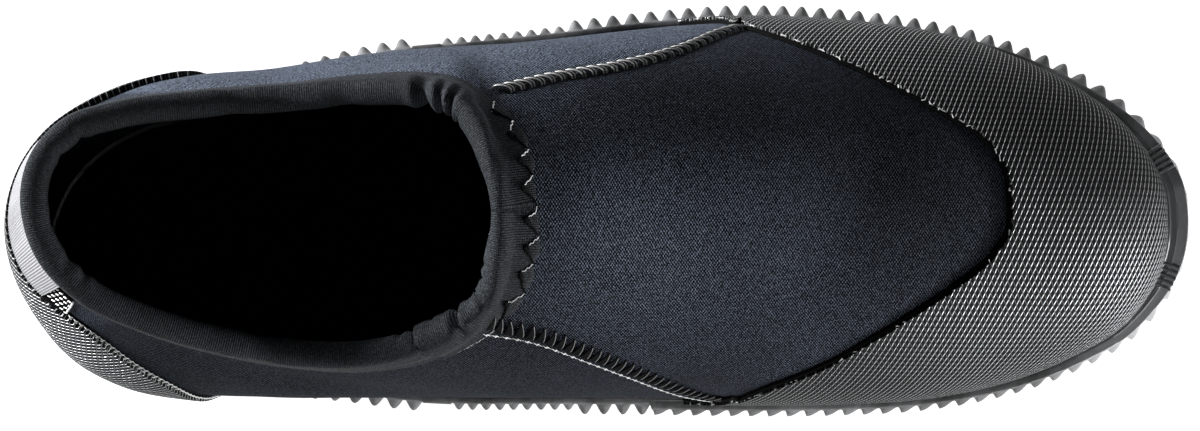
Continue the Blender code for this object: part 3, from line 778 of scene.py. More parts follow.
def neoprene_knit():
    """Dark blue-black knit bonded to foam, with paler fibres at random; loop tops are painted paler as
    painted highlight and gaps near black as painted shade.
    """
    measure = sizes()
    base = colours()["neoprene"]
    finish = Finish("neoprene_knit", Specular_IOR_Level=0.02)
    height = knit_height(finish, measure["wale"], measure["course"])
    speckle = finish.noise(2300.0, 0.0)
    mottle = finish.noise(38.0, 2.0)
    # Random paler fibres, with painted highlight on loop tops and painted shade in the gaps
    fibre_light_and_shade = (height * 0.85 + speckle * 0.75 + mottle * 0.12).between(0.50, 1.32).power(2.0)
    # The upper's map lays pools of painted light and painted shade over this colour
    finish.shade(fibre_light_and_shade * finish.nap(), base, 0.02, 9.5)
    finish.set(Roughness=0.82 - speckle * 0.15)
    return finish.bump(height + speckle * 0.5, 0.22).material


def plain_lining():
    """Black lining and cut edges inside the boot."""
    finish = Finish("plain_lining", Roughness=0.95, Specular_IOR_Level=0.1)
    weave = finish.noise(1800.0, 1.0)
    finish.shade(weave, colours()["lining"], 0.6, 1.6)
    return finish.bump(weave, 0.1).material


def grained_rubber(name):
    """Rubber sheet moulded with raised glossy slivers, in a net of fainter ribs round black pits; the
    slivers are painted near white and metal-like as painted glints, the other slant dimmer as painted shade.
    """
    measure = sizes()
    base = colours()["grain"]
    finish = Finish(name, Specular_IOR_Level=0.05)
    along, across = finish.cloth()
    one_way = along * (1 / measure["grain_width"])
    other_way = across * (1 / measure["grain_length"])
    wobble = finish.noise(220.0, 1.0) * 0.12
    steep = (one_way - other_way + wobble).wave()
    faint = (one_way + other_way + wobble).wave()
    # Painted glints: slivers of one slant near white, ribs of the other slant dimmer as painted shade
    sliver = (1.0 - steep.between(0.02, 0.27)) * (faint.between(0.05, 0.60) * 0.80 + 0.20)
    rib = 1.0 - (1.0 - sliver).least(faint.between(0.01, 0.15) * 0.24 + 0.76)
    rub = finish.noise(55.0, 4.0, 0.6)
    fine = finish.noise(2600.0, 1.0)
    # Random wear, scaled by the piece's map of painted light and painted shade
    wear_and_painted_light = (rub * 0.4 + fine * 0.3 + 0.6) * finish.nap()
    finish.shade(rib * wear_and_painted_light, base, 0.003, 1.0)
    finish.set(Roughness=0.75 - rib * 0.47)
    finish.set(Metallic=rib * 0.8)
    return finish.bump(rib + fine * 0.05, 0.40).material


def sole_rubber():
    """Matt moulded rubber, dusty grey on its faces and glossy where it is rubbed; the gloss map also paints
    it paler there as painted highlight and darker inside the upper as painted shade.
    """
    base = colours()["sole"]
    finish = Finish("sole_rubber", Specular_IOR_Level=0.30, Coat_Roughness=0.14)
    dust = finish.noise(90.0, 5.0, 0.62)
    fine = finish.noise(1100.0, 2.0)
    gloss_and_highlight = finish.nap()
    # Dust, and the gloss map painting the toe paler as painted highlight and the floor inside darker as
    # painted shade
    face = dust.between(0.30, 0.72) * 0.7 + gloss_and_highlight * 0.8
    finish.shade(face, base, 0.30, 3.2)
    finish.set(Roughness=0.42 + dust * 0.30)
    finish.set(Coat_Weight=gloss_and_highlight)
    return finish.bump(fine * 0.5 + dust * 0.5, 0.16).material


# Pitch of the binding's ribs and stitches, and how far from its middle line it turns black as painted shade
# inside the collar
BINDING_RIB = 0.55
BINDING_STITCH = 0.42
BINDING_PAINTED_SHADE = (2.6, 4.6)


def stretch_binding():
    """Fine stretch knit with ribs across the binding, black on its inside as painted shade; rib tops are
    painted paler as painted highlight.
    """
    base = colours()["binding"]
    finish = Finish("stretch_binding", Specular_IOR_Level=0.08)
    along, across = finish.cloth()
    rib = (along * (1 / BINDING_RIB)).wave()
    stitch = (across * (1 / BINDING_STITCH) + rib * 0.5).wave()
    speckle = finish.noise(2000.0, 1.0)
    mottle = finish.noise(60.0, 3.0)
    height = rib * 0.6 + stitch * 0.25
    # Random paler fibres, with painted highlight on rib tops and painted shade between them
    fibre_light_and_shade = (height * 0.5 + speckle * 0.8 + mottle * 0.3).between(0.5, 1.2).power(1.4)
    face = finish.mix(fibre_light_and_shade, tint(base, 0.25), tint(base, 3.0))
    # Painted shade: near black where the binding goes inside the collar
    inside = across.between(*BINDING_PAINTED_SHADE)
    finish.set(Base_Color=finish.mix(inside, face, tint(base, 0.03)))
    finish.set(Roughness=0.78 - speckle * 0.1 + inside * 0.2)
    return finish.bump(height + speckle * 0.4, 0.16).material


def ribbed_tape():
    """Woven tape with a silky face."""
    base = colours()["tape"]
    finish = Finish("ribbed_tape", Specular_IOR_Level=0.35)
    yarn = finish.noise(1400.0, 2.0)
    finish.shade(yarn, base, 0.6, 1.4)
    finish.set(Roughness=0.38 + yarn * 0.2)
    return finish.bump(yarn, 0.05).material


def thread(name, base, roughness, gloss=0.6):
    """Twisted thread."""
    finish = Finish(name, Specular_IOR_Level=gloss)
    twist = finish.noise(1600.0, 2.0)
    finish.shade(twist, base, 0.5, 1.5)
    finish.set(Roughness=roughness + twist * 0.15)
    return finish.bump(twist, 0.06).material


def black_thread():
    """Black sewing thread with a slight gloss."""
    return thread("black_thread", colours()["black_thread"], 0.35, 0.35)


def pale_thread():
    """Pale sewing thread, also laid as painted glints on the throat zigzag."""
    return thread("pale_thread", colours()["pale_thread"], 0.45)


def dark_edge():
    """Matt black thread, also laid as black lines of painted shadow along the cap's and the counter's edges.
    """
    return thread("dark_edge", tint(colours()["black_thread"], 0.4), 0.8, 0.04)


GLUE_DARK = (0.008, 0.008, 0.009, 1.0)
GLUE_PALE = (0.03, 0.03, 0.032, 1.0)


def clear_glue():
    """Bead of dried glue, dark and glossy."""
    finish = Finish("clear_glue", Specular_IOR_Level=0.7, Coat_Weight=0.6, Coat_Roughness=0.12)
    ripple = finish.noise(500.0, 2.0)
    finish.set(Base_Color=finish.mix(ripple, GLUE_DARK, GLUE_PALE))
    finish.set(Roughness=0.15 + ripple * 0.25)
    return finish.bump(ripple, 0.3).material


# Modelling helpers

ROUND_ANGLE = math.radians(50)


def pick_out(piece):
    """Make a piece the active one and the only one that is selected."""
    bpy.ops.object.select_all(action="DESELECT")
    bpy.context.view_layer.objects.active = piece
    piece.select_set(True)


def lay_grid(name, points, cloth, closed=False):
    """A grid primitive laid over columns and rows of points, with their places on the cloth."""
    if closed:
        points = np.concatenate((points, points[:1]))
        cloth = np.concatenate((cloth, cloth[:1]))
    columns, rows = points.shape[:2]
    bpy.ops.object.select_all(action="DESELECT")
    bpy.ops.mesh.primitive_grid_add(x_subdivisions=columns - 1, y_subdivisions=rows - 1, size=1)
    piece = bpy.context.object
    piece.name = name
    piece.data.name = name
    mesh = piece.data
    flat = np.empty(len(mesh.vertices) * 3)
    mesh.vertices.foreach_get("co", flat)
    column = np.rint((flat[0::3] + 0.5) * (columns - 1)).astype(int)
    row = np.rint((flat[1::3] + 0.5) * (rows - 1)).astype(int)
    mesh.vertices.foreach_set("co", to_metres(points[column, row]).ravel())
    corner = np.empty(len(mesh.loops), dtype=np.int32)
    mesh.loops.foreach_get("vertex_index", corner)
    mesh.uv_layers[0].name = CLOTH_MAP
    mesh.uv_layers[0].uv.foreach_set("vector", cloth[column, row][corner].ravel())
    mesh.update()
    return piece


def lay_light_and_gloss_map(piece, nap):
    """Give a piece its map of painted light, painted shade and gloss, worked out from its points in
    millimetres.
    """
    mesh = piece.data
    flat = np.empty(len(mesh.vertices) * 3)
    mesh.vertices.foreach_get("co", flat)
    points = flat.reshape(-1, 3) / MM - CENTRING
    mesh.attributes.new(LIGHT_AND_GLOSS_MAP, "FLOAT", "POINT").data.foreach_set("value", nap(points))


def patches(points, rows):
    """Sum of soft round patches, seen from above."""
    total = np.zeros(len(points))
    for x, y, reach, gain in zip(*rows.values()):
        total += gain * np.exp(-((points[:, 0] - x) ** 2 + (points[:, 1] - y) ** 2) / reach ** 2)
    return total


def merge_points(piece, distance=0.002, face_out=False):
    """Join points of a piece that meet, distance in millimetres, and turn its faces out if asked."""
    pick_out(piece)
    bpy.ops.object.mode_set(mode="EDIT")
    bpy.ops.mesh.select_all(action="SELECT")
    bpy.ops.mesh.remove_doubles(threshold=distance * MM)
    if face_out:
        bpy.ops.mesh.normals_make_consistent(inside=False)
    bpy.ops.object.mode_set(mode="OBJECT")


def shape(piece, kind, **settings):
    """Add a modifier to a piece and apply it."""
    bpy.context.view_layer.objects.active = piece
    modifier = piece.modifiers.new(kind.lower(), kind)
    for name, value in settings.items():
        setattr(modifier, name, value)
    bpy.ops.object.modifier_apply(modifier=modifier.name)


def thicken(piece, thickness, **settings):
    """Give an open surface a wall towards its inner side, thickness in millimetres."""
    shape(
        piece, "SOLIDIFY", thickness=thickness * MM, offset=-1.0,
        use_even_offset=True, use_quality_normals=True, **settings,
    )


def soften(piece, width, segments=2):
    """Round the sharp edges of a piece, width in millimetres."""
    shape(
        piece, "BEVEL", width=width * MM, segments=segments,
        limit_method="ANGLE", angle_limit=ROUND_ANGLE, harden_normals=False,
    )


def finish_piece(piece, slot, materials, *nodes):
    """Shade, paint and file a piece: it rides on the boot and stands for the given nodes."""
    pick_out(piece)
    bpy.ops.object.shade_smooth_by_angle(angle=ROUND_ANGLE)
    slots = piece.data.materials
    for number, material in enumerate(materials):
        if number < len(slots):
            slots[number] = material
        else:
            slots.append(material)
    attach(piece, BODY)
    if nodes:
        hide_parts(*nodes)
    return piece


def strands(name, lines, sides=1):
    """Threads through lines of points; each line is its points, their radii and a material number."""
    curve = bpy.data.curves.new(name, "CURVE")
    curve.dimensions = "3D"
    curve.bevel_depth = MM
    curve.bevel_resolution = sides
    curve.use_fill_caps = True
    for _ in range(1 + max(number for _, _, number in lines)):
        curve.materials.append(None)
    for points, radii, number in lines:
        spline = curve.splines.new("POLY")
        spline.points.add(len(points) - 1)
        places = np.column_stack((to_metres(points), np.ones(len(points))))
        spline.points.foreach_set("co", places.ravel())
        spline.points.foreach_set("radius", np.broadcast_to(radii, len(points)).astype(float))
        spline.material_index = number
    piece = bpy.data.objects.new(name, curve)
    bpy.context.scene.collection.objects.link(piece)
    pick_out(piece)
    bpy.ops.object.convert(target="MESH")
    piece = bpy.context.object
    merge_points(piece)
    return piece


# Outsole

# Teeth of the sole's side. Each zone ends at a place on one side of the foot; the first
# starts on the inner side and runs round the toe. Lean is where a tooth has its tip.
FOREFOOT_START = ("medial", -6.0)
TOOTH_ZONES = (
    # end side, end x, pitch, depth, lean
    ("lateral", -8.5, 4.65, 2.6, 0.50),
    ("lateral", -39.0, 3.4, 1.6, 0.50),
    ("lateral", -46.0, 3.5, 0.0, 0.50),
    ("medial", -43.0, 4.85, 2.4, 0.50),
    ("medial", -36.0, 3.5, 0.0, 0.50),
    ("medial", -6.0, 3.4, 1.6, 0.50),
)
SAW_LEAN = 0.16
SAW_START = ("medial", 12.0)
SAW_ROOT = 1.1
TOOTH_SAMPLES = 12
TOOTH_FLAT = 0.06
TOOTH_ROUNDING = 1.15
PLAIN_INSET = 2.3
BUMPER_REACH = (7.0, 46.0)
BUMPER_TOOTH = 0.22
RIM_ROUND = 0.45
RIM_LINE = 0.25
RIM_LINE_SHELF = (2.4, 4.5)
TOE_STRETCH = 0.75
TOE_STRETCH_REACH = 34.0

# Tread bars, two to a row with a groove between them
LUG_ROWS = 15
LUG_START = -121.0
LUG_END = 121.0
LUG_LENGTH = 10.0
LUG_SLIT = 1.2
LUG_MARGIN = 6.0
LUG_GROOVE = 4.0
LUG_LEAST_WIDTH = 8.0
LUG_ROOT = 0.4
LUG_ROUND = 0.7


def tooth(phase, lean):
    """Height of a tooth from 0 to 1 over its pitch, with a rounded tip."""
    end = 1 - TOOTH_FLAT
    rise = (phase - TOOTH_FLAT) / (lean - TOOTH_FLAT)
    fall = (end - phase) / (end - lean)
    height = np.clip(np.minimum(rise, fall), 0.0, 1.0)
    return np.sin(math.pi / 2 * height) ** TOOTH_ROUNDING


def toothed_side():
    """Arc places round the sole, and how far the teeth and their roots lie inside its outline."""
    arcs = []
    insets = []
    roots = []
    phases = np.arange(TOOTH_SAMPLES) / TOOTH_SAMPLES
    start = EDGE.arc_at(*FOREFOOT_START) - EDGE.length
    saw_start = EDGE.arc_at(*SAW_START) - EDGE.length
    for side, end_x, pitch, depth, lean in TOOTH_ZONES:
        end = EDGE.arc_at(side, end_x)
        walk = np.linspace(start, end, EDGE.SAMPLES)
        wide = pitch * (1 + TOE_STRETCH * np.exp(-(walk / TOE_STRETCH_REACH) ** 2))
        turns = np.concatenate(([0.0], np.cumsum(np.diff(walk) / wide[1:])))
        count = round(turns[-1])
        for number in range(count):
            at = np.interp((number + phases) * turns[-1] / count, turns, walk)
            near_toe = smooth(*BUMPER_REACH, abs(at))
            lift = TOOTH_DEPTH * (1 - near_toe) * (1 - BUMPER_TOOTH)
            tip = lean
            scale = BUMPER_TOOTH + (1 - BUMPER_TOOTH) * near_toe
            if saw_start < at[0] < -BUMPER_REACH[0]:
                tip = SAW_LEAN
                lift = np.maximum(lift, SAW_ROOT)
                scale = np.minimum(scale, 1 - SAW_ROOT / TOOTH_DEPTH)
            height = depth * tooth(phases, tip) * scale
            arcs.append(at)
            roots.append(TOOTH_DEPTH - lift if depth else np.full(len(at), PLAIN_INSET))
            insets.append(TOOTH_DEPTH - lift - height if depth else np.full(len(at), PLAIN_INSET))
        start = end
    return np.concatenate(arcs), np.concatenate(insets), np.concatenate(roots)


def sole_rings():
    """Rings of points up the side of the sole and over its rim, as a closed grid."""
    arcs, teeth, root = toothed_side()
    shelf = shelf_width(arcs)
    line = RIM_LINE * smooth(*RIM_LINE_SHELF, shelf)
    foot = TOOTH_DEPTH + shelf
    rise = teeth - root
    lip = root + RIM_ROUND
    span = foot - root
    # inset from the outline, level that the height is measured from, height above it
    rows = [
        (root + 1.9, "plate", 0.0),
        (root + 0.9, "plate", 0.15),
        (root + rise * 0.5, "plate", 0.6),
        (root + rise * 0.9, "plate", 1.3),
        (teeth, "plate", 2.0),
        (teeth, "rim", -3.4),
        (root + rise * 0.95, "rim", -3.0),
        (root + rise * 0.65, "rim", -2.1),
        (root + rise * 0.32, "rim", -1.2),
        (root + 0.02, "rim", -0.45),
        (root + 0.16, "rim", -0.12),
        (lip, "rim", 0.0),
        (lip + span * 0.25, "rim", 0.0),
        (lip + span * 0.32, "rim", line),
        (lip + span * 0.39, "rim", 0.0),
        (lip + span * 0.50, "rim", -0.1),
        (lip + span * 0.56, "rim", line),
        (lip + span * 0.62, "rim", -0.1),
        (foot - 0.55, "rim", -0.1),
        (foot - 0.35, "rim", -0.6),
        (foot + 0.1, "rim", -0.6),
        (foot + 0.4, "rim", 0.0),
        (foot + 1.6, "rim", 0.0),
    ]
    rings = []
    for inset, level, offset in rows:
        plan = EDGE.points(arcs, inset)
        if level == "plate":
            height = floor_height(plan[:, 0]) + TREAD_DEPTH + offset
        else:
            height = rim_height(plan[:, 0]) + offset
        rings.append(np.column_stack((plan, height)))
    return arcs, np.stack(rings, axis=1)


def side_width(outline, side, x):
    """How far one side of an outline reaches at the given x."""
    tip = int(np.argmax(outline[:, 0]))
    walk = np.roll(outline, -tip, axis=0)
    heel = int(np.argmin(walk[:, 0]))
    half = walk[:heel + 1] if side == "lateral" else np.vstack((walk[:1], walk[:heel - 1:-1]))
    return np.interp(-x, -half[:, 0], half[:, 1])


def add_lug(x_back, x_front, root, edge_back, edge_front):
    """One half of a tread bar: a box drawn to its four corners and rounded."""
    bpy.ops.object.select_all(action="DESELECT")
    bpy.ops.mesh.primitive_cube_add(size=2)
    lug = bpy.context.object
    for vertex in lug.data.vertices:
        x = x_front if vertex.co.x > 0 else x_back
        edge = edge_front if vertex.co.x > 0 else edge_back
        y = max(root, edge) if vertex.co.y > 0 else min(root, edge)
        ground = float(floor_height(x))
        z = ground + TREAD_DEPTH + LUG_ROOT if vertex.co.z > 0 else ground
        vertex.co = to_metres((x, y, z))
    soften(lug, LUG_ROUND)
    return lug


def tread_lugs(plate):
    """The bars under the sole, each cut in two by a fine slit."""
    lugs = []
    half = LUG_LENGTH / 2
    for x in np.linspace(LUG_START, LUG_END, LUG_ROWS):
        for side, sign in (("lateral", 1), ("medial", -1)):
            middle = (side_width(plate, "lateral", x) + side_width(plate, "medial", x)) / 2
            root = middle + sign * LUG_GROOVE / 2
            ends = np.array((x - half, x - LUG_SLIT / 2, x + LUG_SLIT / 2, x + half))
            edges = side_width(plate, side, ends) - sign * LUG_MARGIN
            if min(sign * (edges - root)) < LUG_LEAST_WIDTH:
                continue
            lugs.append(add_lug(ends[0], ends[1], root, edges[0], edges[1]))
            lugs.append(add_lug(ends[2], ends[3], root, edges[2], edges[3]))
    return lugs


# Where the sole is rubbed glossy and painted paler as painted highlight, its gloss elsewhere, and how dull
# and dark, as painted shade, the floor inside the upper is
SOLE_GLOSS_AND_HIGHLIGHT = table(
    "x y reach gain",
    (134.0, -26.0, 20.0, 1.1),
    (142.0, -4.0, 14.0, 0.9),
    (136.0, 20.0, 12.0, 0.3),
)
SOLE_GLOSS = 0.04
INSIDE_DULL_SHADE = 1.5
INSIDE_EDGE = (0.5, 1.5)
INSIDE_DEPTH = 1.0


def sole_gloss_and_highlight(points):
    """Gloss of the sole, which also paints it paler as painted highlight: none on the floor inside the
    upper, painted darker there as painted shade.
    """
    tree = KDTree(len(EDGE.curve))
    for number, (x, y) in enumerate(EDGE.curve):
        tree.insert((x, y, 0.0), number)
    tree.balance()
    found = [tree.find((x, y, 0.0)) for x, y, _ in points]
    arcs = EDGE.arc[[index for _, index, _ in found]]
    inset = np.array([distance for _, _, distance in found])
    inside = smooth(*INSIDE_EDGE, inset - TOOTH_DEPTH - shelf_width(arcs))
    inside = inside * (points[:, 2] > rim_height(points[:, 0]) - INSIDE_DEPTH)
    return SOLE_GLOSS + patches(points, SOLE_GLOSS_AND_HIGHLIGHT) - INSIDE_DULL_SHADE * inside


class BOOT_OT_outsole(bpy.types.Operator):
    """Mould the sole: toothed side, rim shelf and tread bars"""

    bl_idname = "boot.outsole"
    bl_label = "Outsole"

    def execute(self, context):
        arcs, rings = sole_rings()
        rows = rings.shape[1]
        cloth = np.stack(np.broadcast_arrays(arcs[:, None], np.arange(float(rows))), axis=2)
        sole = lay_grid("outsole_moulded", rings, cloth, closed=True)
        merge_points(sole)
        bpy.ops.object.mode_set(mode="EDIT")
        bpy.ops.mesh.select_all(action="DESELECT")
        bpy.ops.mesh.select_mode(type="EDGE")
        bpy.ops.mesh.select_non_manifold()
        bpy.ops.mesh.edge_face_add()
        bpy.ops.mesh.select_all(action="SELECT")
        bpy.ops.mesh.quads_convert_to_tris(ngon_method="BEAUTY")
        bpy.ops.mesh.normals_make_consistent(inside=False)
        bpy.ops.mesh.select_mode(type="VERT")
        bpy.ops.object.mode_set(mode="OBJECT")
        lugs = tread_lugs(rings[:, 0, :2])
        bpy.ops.object.select_all(action="DESELECT")
        for lug in lugs:
            lug.select_set(True)
        sole.select_set(True)
        context.view_layer.objects.active = sole
        bpy.ops.object.join()
        lay_light_and_gloss_map(sole, sole_gloss_and_highlight)
        finish_piece(sole, "sole_rubber", [sole_rubber()], "outsole")
        return {"FINISHED"}


# Upper

# Soft troughs and ridges of the neoprene: place on the wall, half length and half width,
# turn of the length from +x towards +y in degrees, and height (a trough is below 0)
FOLDS = table(
    "x y z length width turn height",
    (-4.0, 4.0, 86.0, 17.0, 9.0, 80.0, 0.7),
    (22.0, -12.0, 74.0, 22.0, 9.0, -40.0, -0.8),
    (52.0, -8.0, 64.0, 20.0, 10.0, 60.0, -0.9),
    (40.0, 14.0, 67.0, 20.0, 11.0, 20.0, 0.5),
    (70.0, 6.0, 58.0, 16.0, 10.0, 85.0, 0.5),
    (8.0, 22.0, 68.0, 18.0, 6.0, 25.0, -0.5),
    (-50.0, 34.0, 50.0, 22.0, 8.0, 15.0, -0.9),
    (-60.0, -36.0, 48.0, 24.0, 8.0, -10.0, -0.9),
    (-92.0, 30.0, 52.0, 16.0, 7.0, 30.0, 0.7),
    (-95.0, -33.0, 50.0, 18.0, 7.0, -25.0, 0.7),
    (-20.0, 40.0, 45.0, 16.0, 7.0, 40.0, 0.6),
    (-22.0, -42.0, 40.0, 18.0, 7.0, -35.0, 0.6),
)

# How deep a fold reaches, and below which upward lean of the wall its turn is from +x towards +z
FOLD_REACH = 25.0
FOLD_STEEP = 0.6

# Trough along a seam: its depth and half width, points along it, and samples of a seam's line
SEAM_TROUGH = 0.55
SEAM_TROUGH_WIDTH = 2.6
SEAM_TROUGH_POINTS = 50
SEAM_SAMPLES = 90

# Pools of painted light and painted shade on the knit, its level on the vamp and on each quarter, and
# how sharply it changes at a seam
VAMP_PAINTED_LIGHT = table(
    "x y reach gain",
    (8.0, -2.0, 24.0, 0.52),
    (46.0, -8.0, 20.0, 0.16),
    (18.0, 28.0, 18.0, -0.22),
    (70.0, 12.0, 24.0, -0.22),
    (-14.0, -36.0, 18.0, -0.14),
    (24.0, -38.0, 16.0, -0.16),
)
VAMP_LIGHT_LEVEL = 0.47
QUARTER_LIGHT_LEVEL = {"lateral": 1.15, "medial": 0.27}
QUARTER_EDGE = (-0.6, 0.6)


def upper_painted_light(points):
    """Painted light and shade of the upper: pools on the vamp, and a level on each quarter outside its seam.
    """
    nap = VAMP_LIGHT_LEVEL + patches(points, VAMP_PAINTED_LIGHT)
    for side, level in QUARTER_LIGHT_LEVEL.items():
        seam = SEAMS[side]
        beyond = np.abs(points[:, 1]) - np.abs(np.interp(points[:, 0], seam["x"], seam["y"]))
        quarter = smooth(*QUARTER_EDGE, beyond) * (np.sign(points[:, 1]) == np.sign(seam["y"][0]))
        nap += (level - nap) * quarter
    return nap


def seam_line(side, count):
    """Evenly spaced points along a cover seam, on the wall."""
    guide = np.column_stack((SEAMS[side]["x"], SEAMS[side]["y"]))
    keys = lengths(guide)
    line = flow_line(keys, guide, np.linspace(0, keys[-1], SEAM_SAMPLES))
    line = np.array([WALL.drop(*point) for point in line])
    along = lengths(line)
    return resample(line, along, np.linspace(0, along[-1], count))


def fold_relief(points):
    """Height of the folds and of the drawn-in seams at points of the wall."""
    relief = np.zeros(points.shape[:2])
    for x, y, z, length, width, turn, height in zip(*FOLDS.values()):
        place, normal = WALL.seat((x, y, z))
        cosine = math.cos(math.radians(turn))
        sine = math.sin(math.radians(turn))
        run = np.array((cosine, 0.0, sine) if abs(normal[2]) < FOLD_STEEP else (cosine, sine, 0.0))
        run = unit(run - normal * (run @ normal))
        offset = points - place
        along = offset @ run / length
        across = offset @ np.cross(normal, run) / width
        off = offset @ normal / FOLD_REACH
        relief += height * np.exp(-along ** 2 - across ** 2 - off ** 2)
    for side in SEAMS:
        line = seam_line(side, SEAM_TROUGH_POINTS)
        away = np.min([np.linalg.norm(points - place, axis=2) for place in line], axis=0)
        relief -= SEAM_TROUGH * np.exp(-(away / SEAM_TROUGH_WIDTH) ** 2)
    return relief


class BOOT_OT_upper(bpy.types.Operator):
    """Sew the hollow neoprene upper and line it"""

    bl_idname = "boot.upper"
    bl_label = "Upper"

    def execute(self, context):
        points = WALL.points
        ways = grid_normals(points)
        ridge = np.arange(1, WALL.FRONT_COUNT + 1)
        ways[ridge, -1] = ways[-ridge, -1] = unit(ways[ridge, -1] + ways[-ridge, -1])
        points = points + ways * fold_relief(points)[:, :, None]
        upper = lay_grid("upper_neoprene", points, WALL.cloth, closed=True)
        merge_points(upper)
        thicken(upper, sizes()["neoprene"], material_offset=1, material_offset_rim=1)
        lay_light_and_gloss_map(upper, upper_painted_light)
        finish_piece(upper, "neoprene", [neoprene_knit(), plain_lining()], "upper")
        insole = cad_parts["insole"]
        insole.data.materials.clear()
        insole.data.materials.append(plain_lining())
        return {"FINISHED"}


# Toe cap

# Rows of points up the cap, and the gap behind a rubber sheet and the rounding of its edges
CAP_ROWS = 44
OVERLAY_GAP = 0.1
OVERLAY_ROUND = 0.35
OVERLAY_SEGMENTS = 3

# Where the cap's ribs are painted paler as painted highlight or darker as painted shade
CAP_PAINTED_LIGHT_PATCHES = table(
    "x y reach gain",
    (60.0, 40.0, 34.0, 0.34),
    (104.0, 20.0, 24.0, -0.16),
    (120.0, 4.0, 16.0, -0.14),
    (132.0, -19.0, 17.0, 1.50),
    (96.0, -26.0, 26.0, 0.42),
)
CAP_LIGHT_LEVEL = 0.42
COUNTER_NAP = 0.75


def cap_painted_light(points):
    """Painted highlight and painted shade on the cap's ribs."""
    return CAP_LIGHT_LEVEL + patches(points, CAP_PAINTED_LIGHT_PATCHES)


def counter_nap(points):
    """Even wear of the counter's ribs."""
    return np.full(len(points), COUNTER_NAP)


def cap_top(section):
    """Share of a section where the toe cap ends."""
    behind = section.curve[:, 0] < ease(CAP_EDGE["y"], CAP_EDGE["x"], section.curve[:, 1])
    height = FOOT_MARGIN + ease(CAP_HEIGHT["x"], CAP_HEIGHT["height"], section.foot[0])
    wing = section.share_at_height(height)
    if behind[0]:
        return wing
    return min(wing, section.shares[np.argmax(behind)])


def overlay_grid(sections, starts, ends, rows, lift, chart):
    """Points of a skin over part of the wall, and their places on its flat sheet."""
    steps = np.linspace(0, 1, rows + 1)
    shares = [start + (end - start) * steps for start, end in zip(starts, ends)]
    points = np.array([section.at(share) for section, share in zip(sections, shares)])
    cloth = np.array([getattr(section, chart)(share) for section, share in zip(sections, shares)])
    return points + grid_normals(points) * lift, cloth


def lay_sheet(name, sections, tops, rows, chart, nap):
    """A sheet of rubber over the wall, from the foot of its sections up to the given shares."""
    overlay = sizes()["overlay"]
    starts = [section.share_at_height(FOOT_MARGIN) for section in sections]
    points, cloth = overlay_grid(sections, starts, tops, rows, overlay, chart)
    sheet = lay_grid(name, points, cloth)
    thicken(sheet, overlay - OVERLAY_GAP)
    soften(sheet, OVERLAY_ROUND, OVERLAY_SEGMENTS)
    lay_light_and_gloss_map(sheet, nap)
    return sheet


class BOOT_OT_toe_cap(bpy.types.Operator):
    """Wrap the grained rubber cap over the toes"""

    bl_idname = "boot.toe_cap"
    bl_label = "Toe cap"

    def execute(self, context):
        sections = WALL.toe_sections(CAP_WING_END)
        tops = [cap_top(section) for section in sections]
        cap = lay_sheet("toe_cap_grained", sections, tops, CAP_ROWS, "cloth", cap_painted_light)
        finish_piece(cap, "grained_rubber", [grained_rubber("cap_rubber")], "toe_cap")
        return {"FINISHED"}


# Heel

# Rows of points up the counter and the tape, how far the tape runs under the binding, the gap behind
# it, and the depth of its ribs with the points across each
COUNTER_ROWS = 30
TAPE_ROWS = 14
TAPE_TUCK = 1.0
TAPE_GAP = 0.3
TAPE_RIB_DEPTH = 0.22
TAPE_RIB_SAMPLES = 6


def counter_height(section):
    """Height of the heel counter's top edge above the foot of a section."""
    return FOOT_MARGIN + float(ease(COUNTER_HEIGHT["x"], COUNTER_HEIGHT["height"], section.foot[0]))


class BOOT_OT_heel(bpy.types.Operator):
    """Wrap the grained counter and the ribbed tape round the heel"""

    bl_idname = "boot.heel"
    bl_label = "Heel counter and tape"

    def execute(self, context):
        sections = WALL.heel_sections(COUNTER_END)
        tops = [section.share_at_height(counter_height(section)) for section in sections]
        counter = lay_sheet("heel_counter_grained", sections, tops, COUNTER_ROWS, "wrap", counter_nap)
        finish_piece(counter, "grained_rubber", [grained_rubber("counter_rubber")], "heel_counter")
        self.make_tape(sizes())
        return {"FINISHED"}

    def make_tape(self, measure):
        """The tape between counter and binding, with ribs across it."""
        coarse = WALL.heel_sections(TAPE_END)
        starts = [section.share_at_height(counter_height(section) + TAPE_MARGIN) for section in coarse]
        ends = [section.share_below_top(measure["binding_depth"] - TAPE_TUCK) for section in coarse]
        points, cloth = overlay_grid(coarse, starts, ends, TAPE_ROWS, 0.0, "wrap")
        round_heel = lengths(points[:, TAPE_ROWS // 2])
        count = int(round_heel[-1] / measure["tape_rib"]) * TAPE_RIB_SAMPLES
        at = np.linspace(0, round_heel[-1], count)
        fine, fine_cloth = (
            np.stack([resample(grid[:, row], round_heel, at) for row in range(TAPE_ROWS + 1)], axis=1)
            for grid in (points, cloth)
        )
        rib = np.abs(np.sin(math.pi * at / measure["tape_rib"]))
        lift = measure["tape"] - TAPE_RIB_DEPTH * (1 - rib)
        fine = fine + grid_normals(fine) * lift[:, None, None]
        tape = lay_grid("heel_tape_ribbed", fine, fine_cloth)
        thicken(tape, measure["tape"] - TAPE_GAP)
        finish_piece(tape, "ribbed_tape", [ribbed_tape()], "heel_tape")


# Collar binding

